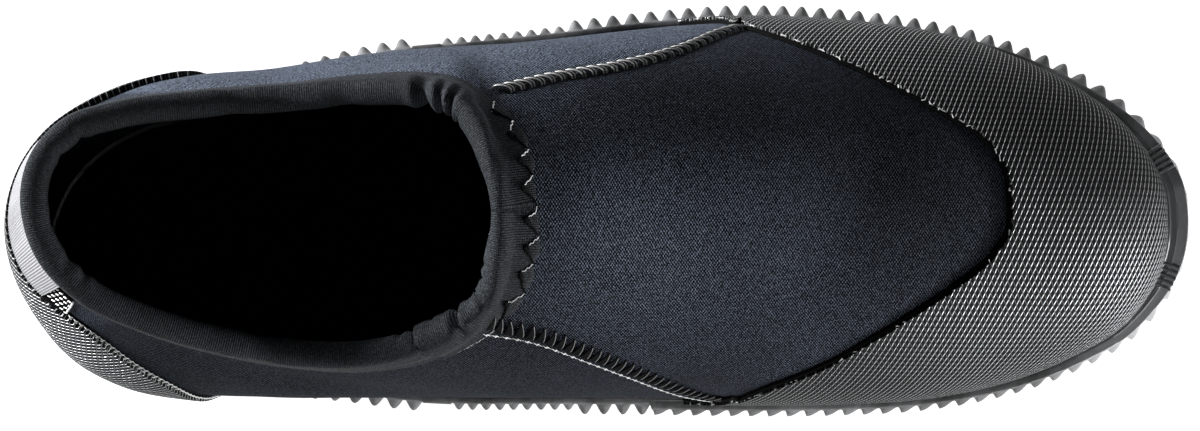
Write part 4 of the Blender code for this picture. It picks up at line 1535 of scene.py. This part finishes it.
# Tucks where the stretched binding bunches up: nearest place on the collar seen from above,
# width along the collar, depth, slant across the binding, and 1 for a tuck on its inside alone
TUCKS = table(
    "x y width depth slant inside",
    (-39.8, 28.7, 1.6, 1.5, -6.0, 0),
    (-35.6, 27.8, 0.8, 0.8, -6.0, 0),
    (-32.2, 26.6, 0.8, 0.9, -5.0, 0),
    (-29.6, 25.0, 0.8, 0.6, -5.0, 1),
    (-45.6, -31.0, 0.8, 0.5, 3.0, 1),
    (-37.0, -28.2, 0.9, 0.4, 4.0, 1),
    (-31.4, -24.7, 1.0, 1.4, 4.0, 0),
    (-25.6, -19.6, 0.6, 0.8, 4.0, 0),
    (-23.8, -15.6, 0.8, 0.7, 3.0, 1),
    (-23.2, -12.4, 0.8, 0.4, 2.0, 1),
    (-119.5, 20.6, 1.2, 0.7, 2.0, 1),
    (-125.6, 15.8, 1.4, 0.5, 0.0, 1),
    (-128.6, -3.6, 2.2, 0.3, 0.0, 1),
    (-123.0, -12.6, 1.6, 0.5, -1.0, 1),
    (-119.4, -16.6, 1.1, 0.5, -2.0, 1),
    (-58.0, 29.4, 3.5, 0.3, 3.0, 0),
    (-84.0, 27.4, 3.5, 0.3, 2.0, 0),
    (-78.0, -31.8, 3.5, 0.35, -3.0, 0),
)

# Shares across the binding between which a tuck grows, for the whole width and for the inside alone,
# and how high the pillows beside a tuck rise as a share of its depth
TUCK_WHOLE = (0.12, 0.40)
TUCK_INSIDE = (0.45, 0.62)
TUCK_PILLOW = 0.25

# The binding's lapped end: its place seen from above, its step and how softly it rises, its length and
# the share of that which stays full, its slant, and the groove beside it as depth, distance and width
LAP_END = (-40.9, -29.9)
LAP_STEP = 0.8
LAP_RISE = 0.35
LAP_LENGTH = 14.0
LAP_FULL = 0.4
LAP_SLANT = 1.5
LAP_GROOVE = (0.7, 0.6, 0.45)

# How far the binding reaches down, as a share of its depth, by the distance from the
# throat along the collar: the outer side counts up from 0 and the inner side down
BINDING_REACH = table(
    "at share",
    (-95.0, 1.0),
    (-50.0, 0.84),
    (-34.0, 0.70),
    (-27.0, 0.68),
    (-16.0, 0.84),
    (0.0, 0.94),
    (16.0, 0.90),
    (26.0, 0.82),
    (50.0, 0.84),
    (95.0, 1.0),
)
BINDING_STATIONS = 220
SKIRT_ROWS = 16
CROWN_ROWS = 13
CROWN_HEIGHT = 2.1
THROAT_REACH = 27.0
THROAT_BLEND = 2.0
SCALLOP = 1.5
SCALLOP_ROUNDING = 0.7
SCALLOP_MIDDLE = 0.4
SCALLOP_START = 0.55

# How far the skin stands off the wall: everywhere, more on the roll, less where it lies flat and at its
# hem, with the shares of the depth over which a full and a flattened roll end and the hem drops
SKIRT_LIFT = 0.62
ROLL_LIFT = 1.05
FLAT_DROP = 0.15
HEM_DROP = 0.4
FULL_ROLL = (0.35, 0.75)
FLAT_ROLL = (0.07, 0.41)
HEM = (0.93, 1.0)
SKIRT_TOP = 0.03
BACK_GAP = 0.05
CROWN_GAP = 0.3

# Legs of the zigzag in one pitch: start and end along the collar as shares of the pitch, distance of
# both from the binding's edge, thickness at both, and 1 for pale thread that is a painted glint
ZIGZAG_LEGS = (
    (0.0, 0.36, 0.1, 2.9, 0.15, 0.15, 1),
    (0.36, 1.0, 2.9, 0.1, 0.24, 0.24, 0),
    (0.36, 0.66, 2.9, 1.3, 0.85, 0.15, 0),
)
ZIGZAG_LIFT = 0.55
ZIGZAG_ARCH = 0.15


class Binding:
    """The binding's run round the collar and its cross-section at each station."""

    def __init__(self):
        measure = sizes()
        places = np.linspace(0, 1, BINDING_STATIONS + 1)
        outer = [rear_section("lateral", place).top for place in places]
        inner = [rear_section("medial", place).top for place in places[-2:0:-1]]
        self.edge = np.array(outer + inner)
        ahead = np.roll(self.edge, -1, axis=0)
        self.arc = lengths(np.vstack((self.edge, self.edge[:1])))[:-1]
        self.girth = self.arc[-1] + np.linalg.norm(self.edge[0] - self.edge[-1])
        self.from_throat = np.where(self.arc < self.girth / 2, self.arc, self.arc - self.girth)
        self.tangents = unit(ahead - np.roll(self.edge, 1, axis=0))
        self.normals = np.array([WALL.seat(place)[1] for place in self.edge])
        self.down = unit(np.cross(self.tangents, self.normals))
        self.pitch = measure["zigzag_pitch"]
        share = ease(BINDING_REACH["at"], BINDING_REACH["share"], self.from_throat)
        self.depth = measure["binding_depth"] * share
        self.wall = measure["neoprene"]

    def throat(self, at):
        """1 along the throat and 0 on the sides."""
        return 1 - smooth(THROAT_REACH - THROAT_BLEND, THROAT_REACH + THROAT_BLEND, np.abs(at))

    def scallop(self, at):
        """How far the stitched front edge bulges out between its stitches."""
        lobe = np.abs(np.sin(math.pi * at / self.pitch)) ** SCALLOP_ROUNDING
        return self.throat(at) * SCALLOP * (lobe - SCALLOP_MIDDLE)

    def nearest(self, x, y):
        """Arc place of the collar nearest to a point seen from above."""
        return self.arc[np.argmin(np.hypot(self.edge[:, 0] - x, self.edge[:, 1] - y))]

    def away(self, x, y, slant):
        """Distance of each station from a place on the collar, along a line that crosses at a slant."""
        away = self.arc[:, None] - self.nearest(x, y) - slant
        return (away + self.girth / 2) % self.girth - self.girth / 2

    def gather(self, across):
        """How far tucks and the lapped end move the skin, by station and share across the binding."""
        shift = np.zeros((len(self.arc), len(across)))
        whole = smooth(*TUCK_WHOLE, across)
        inside = smooth(*TUCK_INSIDE, across)
        for x, y, width, depth, slant, inner in zip(*TUCKS.values()):
            away = self.away(x, y, slant * (across - 0.5)[None, :])
            trough = np.exp(-(away / width) ** 2)
            pillow = np.exp(-((np.abs(away) - 2.0 * width) / width) ** 2)
            shift += depth * (inside if inner else whole) * (TUCK_PILLOW * pillow - trough)
        away = self.away(*LAP_END, LAP_SLANT * np.cos(math.pi * across)[None, :])
        lap = smooth(-LAP_RISE, LAP_RISE, away) * (1 - smooth(LAP_LENGTH * LAP_FULL, LAP_LENGTH, away))
        depth, distance, width = LAP_GROOVE
        groove = depth * np.exp(-((away + distance) / width) ** 2)
        return shift + LAP_STEP * lap - groove

    def seat(self, station, depth):
        """Place on the wall below the collar at one station."""
        return WALL.seat(self.edge[station] + self.down[station] * depth)

    def station(self, at):
        """Number of the station nearest to a distance from the throat."""
        return int(np.argmin(np.abs(self.from_throat - at)))

    def stitch(self, at, inset, lift):
        """Place of a thread that lies a little in from the binding's edge."""
        station = self.station(at)
        place, normal = self.seat(station, self.depth[station] - inset)
        return place + normal * lift

    def skirt(self, share, flat=0.0):
        """How far the skin of a skirt stands off the wall, from the collar 0 to its edge 1.

        Flat is 1 where the skirt lies flat next to a narrow roll and 0 where it is a full roll.
        """
        start, end = (full + (least - full) * flat for full, least in zip(FULL_ROLL, FLAT_ROLL))
        roll = 1 - smooth(start, end, share)
        return SKIRT_LIFT - FLAT_DROP * flat * (1 - roll) + ROLL_LIFT * roll - HEM_DROP * smooth(*HEM, share)

    def skin(self, station, shares, turns):
        """Points of the binding's face at one station, outer edge to inner edge, and their ways out."""
        edge, normal, down = self.edge[station], self.normals[station], self.down[station]
        bulge = self.scallop(self.from_throat[station])
        flat = float(self.throat(self.from_throat[station]))
        depth = self.depth[station]
        half = self.wall / 2 + self.skirt(0.0)
        points = []
        ways = []
        for share in shares:
            place, lift = self.seat(station, depth * share + bulge * smooth(SCALLOP_START, 1.0, share))
            points.append(place + lift * self.skirt(share, flat))
            ways.append(lift)
        for turn in turns:
            way = normal * math.cos(turn) - down * math.sin(turn)
            rise = normal * (half * math.cos(turn) - self.wall / 2) - down * CROWN_HEIGHT * math.sin(turn)
            points.append(edge + rise)
            ways.append(way)
        for share in shares[::-1]:
            place, lift = self.seat(station, depth * share)
            points.append(place - lift * (self.wall + self.skirt(share)))
            ways.append(-lift)
        return np.array(points), np.array(ways)

    def back(self, station):
        """Points of the binding's hidden side, inner edge to outer edge."""
        edge, normal, down = self.edge[station], self.normals[station], self.down[station]
        bulge = self.scallop(self.from_throat[station])
        depth = self.depth[station]
        low, low_lift = self.seat(station, depth)
        middle, middle_lift = self.seat(station, depth / 2)
        front, front_lift = self.seat(station, depth + bulge)
        return np.array([
            low - low_lift * (self.wall + BACK_GAP),
            middle - middle_lift * (self.wall + BACK_GAP),
            edge - normal * (self.wall + BACK_GAP) - down * CROWN_GAP,
            edge + normal * BACK_GAP - down * CROWN_GAP,
            middle + middle_lift * BACK_GAP,
            front + front_lift * BACK_GAP,
        ])

    def rings(self):
        """Closed cross-sections round the collar, and places on the tape from its middle line."""
        shares = np.linspace(1.0, SKIRT_TOP, SKIRT_ROWS)
        turns = np.linspace(0, math.pi, CROWN_ROWS + 2)[1:-1]
        visible = 2 * SKIRT_ROWS + CROWN_ROWS
        gather = self.gather(np.linspace(0, 1, visible))
        rings = []
        cloth = []
        for station in range(len(self.edge)):
            points, ways = self.skin(station, shares, turns)
            face = points + ways * gather[station][:, None]
            ring = np.vstack((face, self.back(station), face[:1]))
            rings.append(ring)
            across = lengths(ring)
            along = np.full(len(ring), self.arc[station])
            cloth.append(np.column_stack((along, across - across[visible // 2])))
        return np.array(rings), np.array(cloth)


class BOOT_OT_binding(bpy.types.Operator):
    """Fold the stretch binding over the collar and stitch it at the throat"""

    bl_idname = "boot.binding"
    bl_label = "Collar binding"

    def execute(self, context):
        run = Binding()
        rings, cloth = run.rings()
        binding = lay_grid("collar_binding_stretch", rings, cloth, closed=True)
        merge_points(binding, face_out=True)
        finish_piece(binding, "stretch_binding", [stretch_binding()], "collar_binding")
        self.zigzag(run)
        return {"FINISHED"}

    def zigzag(self, run):
        """The zigzag stitch that holds the front edge of the binding down."""
        steps = np.linspace(0, 1, 7)
        lifts = ZIGZAG_LIFT + ZIGZAG_ARCH * np.sin(math.pi * steps)
        lines = []
        count = int(THROAT_REACH / run.pitch)
        for number in range(count, -count, -1):
            for start, end, inset, last_inset, radius, last_radius, tone in ZIGZAG_LEGS:
                places = (number - start - (end - start) * steps) * run.pitch
                insets = inset + (last_inset - inset) * steps
                points = [run.stitch(*spot) for spot in zip(places, insets, lifts)]
                lines.append((np.array(points), np.linspace(radius, last_radius, len(steps)), tone))
        piece = strands("throat_zigzag", lines)
        finish_piece(piece, "seam_thread", [dark_edge(), pale_thread()])


# Cover seams

# How far from the collar each seam comes out of the binding
SEAM_START = {"lateral": 7.4, "medial": 6.0}
SEAM_POINTS = 240
CAP_CLEAR = 1.0

# The rope: yarns in one bundle and which of them are pale as painted glints, half its width and how much of
# that its low yarns keep, slant, height of a low yarn and how much higher the middle one is, how deep the
# ends sink in, and the least thickness and swell of a yarn with the share of the swell that its ends keep
ROPE_YARNS = 7
ROPE_PAINTED_GLINTS = (2, 4)
ROPE_HALF_WIDTH = 1.75
ROPE_LOW_WIDTH = 0.80
ROPE_SLANT = 1.5
ROPE_LOW = 0.35
ROPE_DOME = 1.05
ROPE_SINK = 0.15
YARN_LEAST = 0.10
YARN_SWELL = 0.14
YARN_ENDS = 0.4

# Threads of one loop: foot and tip along the seam and how late the thread bends over, foot and height
# across the seam, lift at its ends and more half way, thickness of foot and tip, and material number, 1 for
# the paler rim of painted sheen
LOOP_THREADS = (
    (-0.75, -1.5, 1.4, -1.1, 4.6, 0.05, 0.35, 0.40, 0.16, 0),
    (-0.25, -1.5, 1.4, -1.1, 4.6, 0.05, 0.35, 0.40, 0.16, 0),
    (0.25, -1.5, 1.4, -1.1, 4.6, 0.05, 0.35, 0.40, 0.16, 0),
    (0.75, -1.5, 1.4, -1.1, 4.6, 0.05, 0.35, 0.40, 0.16, 0),
    (0.95, -1.45, 1.3, -0.7, 4.3, 0.55, 0.10, 0.11, 0.11, 1),
)
LOOP_ROUNDING = 0.7

# The pale chain: distance below the seam, lift and sway, least thickness and swell of a link, half
# sizes and thickness of a ring, and where it runs along the binding and how far from its edge
CHAIN_DROP = 1.7
CHAIN_LIFT = 0.8
CHAIN_SWAY = 0.12
LINK_LEAST = 0.04
LINK_SWELL = 0.05
RING_LENGTH = 0.32
RING_WIDTH = 0.26
RING_RADIUS = 0.11
EDGE_CHAIN = (-40.0, -27.0)
EDGE_CHAIN_GAP = 0.3


class BOOT_OT_seams(bpy.types.Operator):
    """Stitch the rope-like outer seam and the looped inner seam"""

    bl_idname = "boot.seams"
    bl_label = "Cover seams"

    def execute(self, context):
        measure = sizes()
        self.rope(measure["rope_pitch"])
        self.spikes(measure["spike_pitch"])
        return {"FINISHED"}

    def frames(self, side, pitch):
        """Places along a seam with their tangent, the way across it and the way off the wall."""
        line = seam_line(side, SEAM_POINTS)
        collar = WALL.points[WALL.collar, -1]
        away = np.linalg.norm(line[:, None] - collar[None], axis=2).min(axis=1)
        behind_cap = ease(CAP_EDGE["y"], CAP_EDGE["x"], line[:, 1]) - line[:, 0]
        line = line[(away > SEAM_START[side]) & (behind_cap > CAP_CLEAR)]
        along = lengths(line)
        count = int(along[-1] / pitch)
        places = resample(line, along, np.linspace(0, along[-1], count + 1))
        tangents = unit(np.gradient(places, axis=0))
        normals = np.array([WALL.seat(place)[1] for place in places])
        return places, tangents, unit(np.cross(normals, tangents)), normals

    def rope(self, pitch):
        """Domed bundles of glossy yarns laid at a slant, like a twisted rope, with pale yarns as painted
        glints.
        """
        steps = np.linspace(-1, 1, 11)
        arch = np.sqrt(np.maximum(0.0, 1 - steps ** 2))
        bend = np.sin(steps * math.pi / 2)
        lines = []
        frames = zip(*self.frames("lateral", pitch / ROPE_YARNS))
        for number, (place, tangent, across, normal) in enumerate(frames):
            yarn = number % ROPE_YARNS
            dome = math.sin(math.pi * (yarn + 0.5) / ROPE_YARNS)
            points = beside(
                place,
                (tangent, -across, normal),
                bend * ROPE_SLANT,
                steps * ROPE_HALF_WIDTH * (ROPE_LOW_WIDTH + (1 - ROPE_LOW_WIDTH) * dome),
                arch * (ROPE_LOW + ROPE_DOME * dome) - ROPE_SINK,
            )
            radii = YARN_LEAST + YARN_SWELL * dome * (YARN_ENDS + (1 - YARN_ENDS) * arch)
            lines.append((points, radii, int(yarn in ROPE_PAINTED_GLINTS)))
        piece = strands("seam_lateral_rope", lines, 2)
        # Painted glints: pale yarns among the black ones
        glint = thread("glossy_thread", tint(colours()["pale_thread"], 0.75), 0.16)
        finish_piece(piece, "seam_thread", [black_thread(), glint], "seam_lateral")

    def spikes(self, pitch):
        """Tall black loops with a paler rim as painted sheen, over a thin chain of pale stitches."""
        steps = np.linspace(0, 1, 9)
        swell = np.sin(math.pi * steps) ** LOOP_ROUNDING
        lines = []
        for place, *axes in zip(*self.frames("medial", pitch)):
            for foot, tip, bend, low, height, lift, arch, radius, last_radius, number in LOOP_THREADS:
                points = beside(
                    place,
                    axes,
                    foot + (tip - foot) * steps ** bend,
                    low + height * steps,
                    lift + arch * swell,
                )
                lines.append((points, radius + (last_radius - radius) * steps, number))
            lines += self.chain(place, axes, pitch)
        lines += self.edge_chain(pitch)
        piece = strands("seam_medial_loops", lines)
        sheen = thread("grey_loop_thread", tint(colours()["pale_thread"], 0.13), 0.30)
        finish_piece(piece, "seam_thread", [dark_edge(), sheen, pale_thread()], "seam_medial")

    def chain(self, place, axes, pitch, drop=CHAIN_DROP):
        """One link of the pale chain below the loops, with a small ring at its middle."""
        steps = np.linspace(-0.5, 0.5, 7)
        turns = np.linspace(0, 2 * math.pi, 9)
        _, across, normal = axes
        base = place - across * drop + normal * CHAIN_LIFT
        run = beside(base, axes, steps * pitch, CHAIN_SWAY * np.sin(steps * 4 * math.pi))
        ring = beside(base, axes, RING_LENGTH * np.cos(turns), RING_WIDTH * np.sin(turns))
        return [(run, LINK_LEAST + LINK_SWELL * np.cos(steps * math.pi), 2), (ring, RING_RADIUS, 2)]

    def edge_chain(self, pitch):
        """The chain's run back along the edge of the binding."""
        binding = Binding()
        lines = []
        for at in np.arange(*EDGE_CHAIN, pitch):
            station = binding.station(at)
            place, normal = binding.seat(station, binding.depth[station] + EDGE_CHAIN_GAP)
            tangent = binding.tangents[station]
            axes = (tangent, np.cross(normal, tangent), normal)
            lines += self.chain(place, axes, pitch, 0.0)[:1]
        return lines


# Edges

# Black line along the cap's edge, a painted shadow: share of the section past the edge, lift and thickness,
# then its frayed threads: how many, the share left on the inner side and where the outer side begins, and
# the lift, half length and thickness of a thread
CAP_LINE_GAP = 0.0035
CAP_LINE_LIFT = 0.40
CAP_LINE_RADIUS = 0.60
FRAY_COUNT = 150
FRAY_LEAST = 0.25
FRAY_SIDE = (0.0, 30.0)
FRAY_LIFT = 1.0
FRAY_HALF = (0.25, 0.75)
FRAY_RADIUS = (0.08, 0.16)

# Line over the counter's edge, a painted shadow in the gap: gap, lift, thickness, and how much more it has
# on the inner side and, unevenly, behind the heel
COUNTER_LINE_GAP = 0.35
COUNTER_LINE_LIFT = 0.35
COUNTER_LINE_RADIUS = 0.08
COUNTER_LINE_INNER = 0.3
COUNTER_LINE_ROUGH = (-0.3, 1.6)
HEEL_BEHIND = (-128.0, -118.0)
HEEL_INNER = (0.0, 12.0)

# Overlock stitches along the counter: pitch, share of it that a stitch covers, rows, slant, lift and
# arch, thickness and swell, and how far back they reach
OVERLOCK_PITCH = 1.5
OVERLOCK_SHARE = 0.8
OVERLOCK_ROWS = (-0.5, 0.7)
OVERLOCK_SLANT = 0.35
OVERLOCK_LIFT = 0.35
OVERLOCK_ARCH = 0.25
OVERLOCK_RADIUS = 0.10
OVERLOCK_SWELL = 0.06
OVERLOCK_END = -124.0

# The woven patch: its middle seen from above and the way it runs. Its mesh, dashes and bar each have a
# lift and thickness. Mesh and dashes fill a half length and half height with a number of rows.
PATCH_PLACE = (-125.6, -19.0)
PATCH_RUN = (0.69, -0.72)
MESH_HALF = (3.0, 2.4)
MESH_ROWS = 9
MESH_LIFT = 0.30
MESH_RADIUS = 0.42
DASH_FIELD = (2.6, 2.2)
DASH_ROWS = 5
DASH_STAGGER = 0.65
DASH_HALF = 0.38
DASH_SLANT = 0.15
DASH_LIFT = 0.75
DASH_RADIUS = 0.20
BAR_PLACE = 3.4
BAR_HALF = 2.6
BAR_LIFT = 0.55
BAR_RADIUS = 0.26

# Blocks of ribs on the toe's rim: side and place, half length of a block, ribs in it, how far the ribs
# keep from the rim's outer and inner edge, and their lift and thickness
RIM_BLOCKS = (("lateral", 137.4), ("medial", 139.2))
RIM_BLOCK_HALF = 3.0
RIM_RIBS = 5
RIM_RIB_OUTER = 0.9
RIM_RIB_INNER = 1.2
RIM_RIB_LIFT = 0.1
RIM_RIB_RADIUS = 0.36

# Beads of glue: side, start and end, points along a bead, its overlap with the upper, lift, least
# thickness and uneven part, and how blunt its ends are
GLUE_RUNS = (("lateral", -58.0, 22.0), ("medial", -40.0, 24.0))
GLUE_POINTS = 120
GLUE_OVERLAP = 0.1
GLUE_LIFT = 0.15
GLUE_LEAST = 0.25
GLUE_ROUGH = 0.75
GLUE_TAPER = 0.4


class BOOT_OT_edges(bpy.types.Operator):
    """Lay the dark edge lines, edge stitches and glue beads"""

    bl_idname = "boot.edges"
    bl_label = "Edges and stitches"

    def execute(self, context):
        self.cap_edge()
        self.counter_edge()
        self.heel_patch()
        self.rim_blocks()
        self.glue()
        return {"FINISHED"}

    def cap_edge(self):
        """Black line of painted shadow and frayed threads along the rear edge of the toe cap."""
        sections = WALL.toe_sections(CAP_WING_END)
        line = [section.at([cap_top(section) + CAP_LINE_GAP])[0] for section in sections]
        points = WALL.lifted(line, CAP_LINE_LIFT)
        # The black line is painted shadow where the cap stands off the wall
        lines = [(points, CAP_LINE_RADIUS, 0)]
        draw = np.random.default_rng(11)
        along = lengths(points)
        for at in np.sort(draw.uniform(0, along[-1], FRAY_COUNT)):
            place = resample(points, along, at)[0]
            if draw.random() > FRAY_LEAST + (1 - FRAY_LEAST) * smooth(*FRAY_SIDE, place[1]):
                continue
            _, normal = WALL.seat(place)
            way = unit(draw.normal(size=3))
            way = unit(way - normal * (way @ normal))
            half = draw.uniform(*FRAY_HALF)
            bit = beside(place + normal * FRAY_LIFT, [way], np.linspace(-half, half, 4))
            lines.append((bit, draw.uniform(*FRAY_RADIUS), 1))
        piece = strands("cap_edge_line", lines)
        finish_piece(piece, "seam_thread", [dark_edge(), pale_thread()])

    def counter_edge(self):
        """Black line of painted shadow round the counter's top and pale overlock stitches on its sides."""
        sections = WALL.heel_sections(COUNTER_END)
        line = []
        for section in sections:
            share = section.share_at_height(counter_height(section) + COUNTER_LINE_GAP)
            line.append(section.at([share])[0])
        points = WALL.lifted(line, COUNTER_LINE_LIFT)
        even, rough = COUNTER_LINE_ROUGH
        behind = 1 - smooth(*HEEL_BEHIND, points[:, 0])
        behind = behind * (rough * uneven(np.random.default_rng(23), len(points), 5) + even)
        inner = COUNTER_LINE_INNER * (1 - smooth(*HEEL_INNER, points[:, 1]))
        # The black line is painted shadow in the gap above the counter
        lines = [(points, COUNTER_LINE_RADIUS + inner + behind, 0)]
        along = lengths(points)
        steps = np.linspace(0, 1, 5)
        swell = np.sin(math.pi * steps)
        for at in np.arange(0, along[-1] - OVERLOCK_PITCH, OVERLOCK_PITCH):
            place, ahead = resample(points, along, [at, at + OVERLOCK_PITCH])
            if place[0] < OVERLOCK_END or place[1] > 0:
                continue
            _, normal = WALL.seat(place)
            tangent = unit(ahead - place)
            for row in OVERLOCK_ROWS:
                bit = beside(
                    place,
                    (tangent, np.cross(normal, tangent), normal),
                    steps * OVERLOCK_PITCH * OVERLOCK_SHARE,
                    row + OVERLOCK_SLANT * (steps - 0.5),
                    OVERLOCK_LIFT + OVERLOCK_ARCH * swell,
                )
                lines.append((bit, OVERLOCK_RADIUS + OVERLOCK_SWELL * swell, 1))
        piece = strands("counter_edge_stitches", lines)
        finish_piece(piece, "seam_thread", [dark_edge(), pale_thread()])

    def heel_patch(self):
        """The woven end of the heel tape: black mesh with rows of pale dashes, and a bar of stitches."""
        run = np.array(PATCH_RUN)
        rise = np.array((-run[1], run[0]))

        def laid(along, up, lift):
            spots = beside(np.array(PATCH_PLACE), (run, rise), along, up)
            return WALL.lifted([WALL.drop(*spot) for spot in spots], lift)

        steps = np.linspace(-1, 1, 7)
        still = np.zeros(len(steps))
        lines = []
        for up in np.linspace(-1, 1, MESH_ROWS) * MESH_HALF[1]:
            lines.append((laid(steps * MESH_HALF[0], still + up, MESH_LIFT), MESH_RADIUS, 0))
        field = np.linspace(-1, 1, DASH_ROWS)
        for row, up in enumerate(field * DASH_FIELD[1]):
            for along in field * DASH_FIELD[0] + DASH_STAGGER * (row % 2):
                dash = laid(along + steps * DASH_HALF, up + steps * DASH_SLANT, DASH_LIFT)
                lines.append((dash, DASH_RADIUS, 1))
        lines.append((laid(still + BAR_PLACE, steps * BAR_HALF, BAR_LIFT), BAR_RADIUS, 1))
        piece = strands("heel_patch_mesh", lines)
        finish_piece(piece, "ribbed_tape", [dark_edge(), pale_thread()])

    def rim_blocks(self):
        """Two small blocks of short ribs across the toe's rim, painted paler as painted highlight."""
        steps = np.linspace(0, 1, 5)
        lines = []
        for side, x in RIM_BLOCKS:
            middle = EDGE.arc_at(side, x)
            for offset in np.linspace(-1, 1, RIM_RIBS) * RIM_BLOCK_HALF:
                arcs = np.full(len(steps), middle + offset)
                reach = TOOTH_DEPTH + shelf_width(arcs) - RIM_RIB_INNER
                plan = EDGE.points(arcs, RIM_RIB_OUTER + (reach - RIM_RIB_OUTER) * steps)
                rib = np.column_stack((plan, rim_height(plan[:, 0]) + RIM_RIB_LIFT))
                lines.append((rib, RIM_RIB_RADIUS, 0))
        piece = strands("rim_rib_blocks", lines)
        finish_piece(piece, "sole_rubber", [thread("rim_rib_rubber", tint(colours()["sole"], 2.2), 0.22)])

    def glue(self):
        """Glossy beads of glue where the upper meets the rim."""
        lines = []
        draw = np.random.default_rng(5)
        for side, start, end in GLUE_RUNS:
            arcs = np.linspace(EDGE.arc_at(side, start), EDGE.arc_at(side, end), GLUE_POINTS)
            plan = EDGE.points(arcs, TOOTH_DEPTH + shelf_width(arcs) - GLUE_OVERLAP)
            points = np.column_stack((plan, rim_height(plan[:, 0]) + GLUE_LIFT))
            taper = np.sin(np.linspace(0, math.pi, len(arcs))) ** GLUE_TAPER
            radii = GLUE_LEAST + GLUE_ROUGH * uneven(draw, len(arcs), 9)
            lines.append((points, radii * taper, 0))
        piece = strands("glue_beads", lines, 2)
        finish_piece(piece, "sole_rubber", [clear_glue()])


# Stage

# Soft boxes round the boot, in metres and watts, with 1 for one that lights glossy surfaces alone
SOFT_BOXES = table(
    "x y z width height power glint",
    (0.85, -0.71, 0.32, 0.50, 0.30, 4.5, 0),
    (0.44, -0.76, 0.74, 0.50, 0.30, 3.0, 0),
    (-1.07, 0.39, 0.12, 0.50, 0.15, 50.0, 0),
    (-0.57, 0.99, 0.12, 0.50, 0.15, 4.5, 0),
    (-0.80, -0.80, 0.16, 0.50, 0.15, 3.5, 0),
    (0.80, -0.75, 0.31, 1.50, 0.60, 40.0, 1),
    (1.08, -0.40, 0.10, 0.50, 0.15, 14.0, 0),
)
LIGHT_AIM = (0, 0, 0.03)
SKY_COLOUR = (0.92, 0.96, 1.0, 1.0)
SKY_STRENGTH = 0.04
FLOOR_SIZE = 8.0
FLOOR_GLOW = 0.85


class BOOT_OT_stage(bpy.types.Operator):
    """Set out the floor, the soft lights and the camera"""

    bl_idname = "boot.stage"
    bl_label = "Stage"

    SENSOR = 36.0

    def execute(self, context):
        stage = context.scene.boot_stage
        self.floor()
        self.lights()
        bpy.ops.object.camera_add(location=(*(CENTRING[:2] * MM), stage.camera_height), rotation=(0, 0, 0))
        camera = context.object
        camera.name = "photo_camera"
        camera.data.sensor_width = self.SENSOR
        camera.data.lens = self.SENSOR * (stage.camera_height - stage.rim_level) / stage.view_width
        context.scene.camera = camera
        context.scene.view_settings.view_transform = "Standard"
        return {"FINISHED"}

    def floor(self):
        """A plain pale floor that glows a little, as on a lit table."""
        bpy.ops.object.select_all(action="DESELECT")
        bpy.ops.mesh.primitive_plane_add(size=FLOOR_SIZE, location=(0, 0, 0))
        floor = bpy.context.object
        floor.name = "studio_floor"
        rgba = colours()["floor"]
        finish = Finish(
            "pale_floor", Base_Color=rgba, Roughness=0.9, Emission_Color=rgba, Emission_Strength=FLOOR_GLOW,
        )
        floor.data.materials.append(finish.material)
        floor.visible_diffuse = False

    def lights(self):
        """Soft boxes round the boot and a dim even sky."""
        for number, (x, y, z, width, height, power, glint) in enumerate(zip(*SOFT_BOXES.values())):
            bpy.ops.object.light_add(type="AREA", location=(x, y, z))
            light = bpy.context.object
            light.name = f"soft_box_{number + 1}"
            light.data.shape = "RECTANGLE"
            light.data.size = width
            light.data.size_y = height
            light.data.energy = power
            light.visible_diffuse = not glint
            light.rotation_euler = (Vector(LIGHT_AIM) - light.location).to_track_quat("-Z", "Y").to_euler()
        world = bpy.data.worlds.new("studio")
        world.use_nodes = True
        sky = world.node_tree.nodes["Background"]
        sky.inputs["Color"].default_value = SKY_COLOUR
        sky.inputs["Strength"].default_value = SKY_STRENGTH
        bpy.context.scene.world = world


class BOOT_PT_panel(bpy.types.Panel):
    """Lists the boot's operators and values"""

    bl_idname = "BOOT_PT_panel"
    bl_label = "Diving boot"
    bl_space_type = "VIEW_3D"
    bl_region_type = "UI"
    bl_category = "Boot"

    def draw(self, context):
        for operator in OPERATORS:
            self.layout.operator(operator.bl_idname)
        for group in GROUPS:
            values = getattr(context.scene, group)
            for name in values.__annotations__:
                self.layout.prop(values, name)


GROUPS = {"boot_sizes": BootSizes, "boot_colours": BootColours, "boot_stage": BootStage}
OPERATORS = (
    BOOT_OT_stage,
    BOOT_OT_outsole,
    BOOT_OT_upper,
    BOOT_OT_toe_cap,
    BOOT_OT_heel,
    BOOT_OT_binding,
    BOOT_OT_seams,
    BOOT_OT_edges,
)


def register():
    """Register the classes and the groups of values."""
    for item in (*GROUPS.values(), *OPERATORS, BOOT_PT_panel):
        bpy.utils.register_class(item)
    for name, group in GROUPS.items():
        setattr(bpy.types.Scene, name, bpy.props.PointerProperty(type=group))


def unregister():
    """Remove the groups of values and the classes."""
    for name in GROUPS:
        delattr(bpy.types.Scene, name)
    for item in reversed((*GROUPS.values(), *OPERATORS, BOOT_PT_panel)):
        bpy.utils.unregister_class(item)


def main():
    """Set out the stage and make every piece."""
    register()
    for name in ("stage", "outsole", "upper", "toe_cap", "heel", "binding", "seams", "edges"):
        getattr(bpy.ops.boot, name)()


if __name__ == "__main__":
    main()
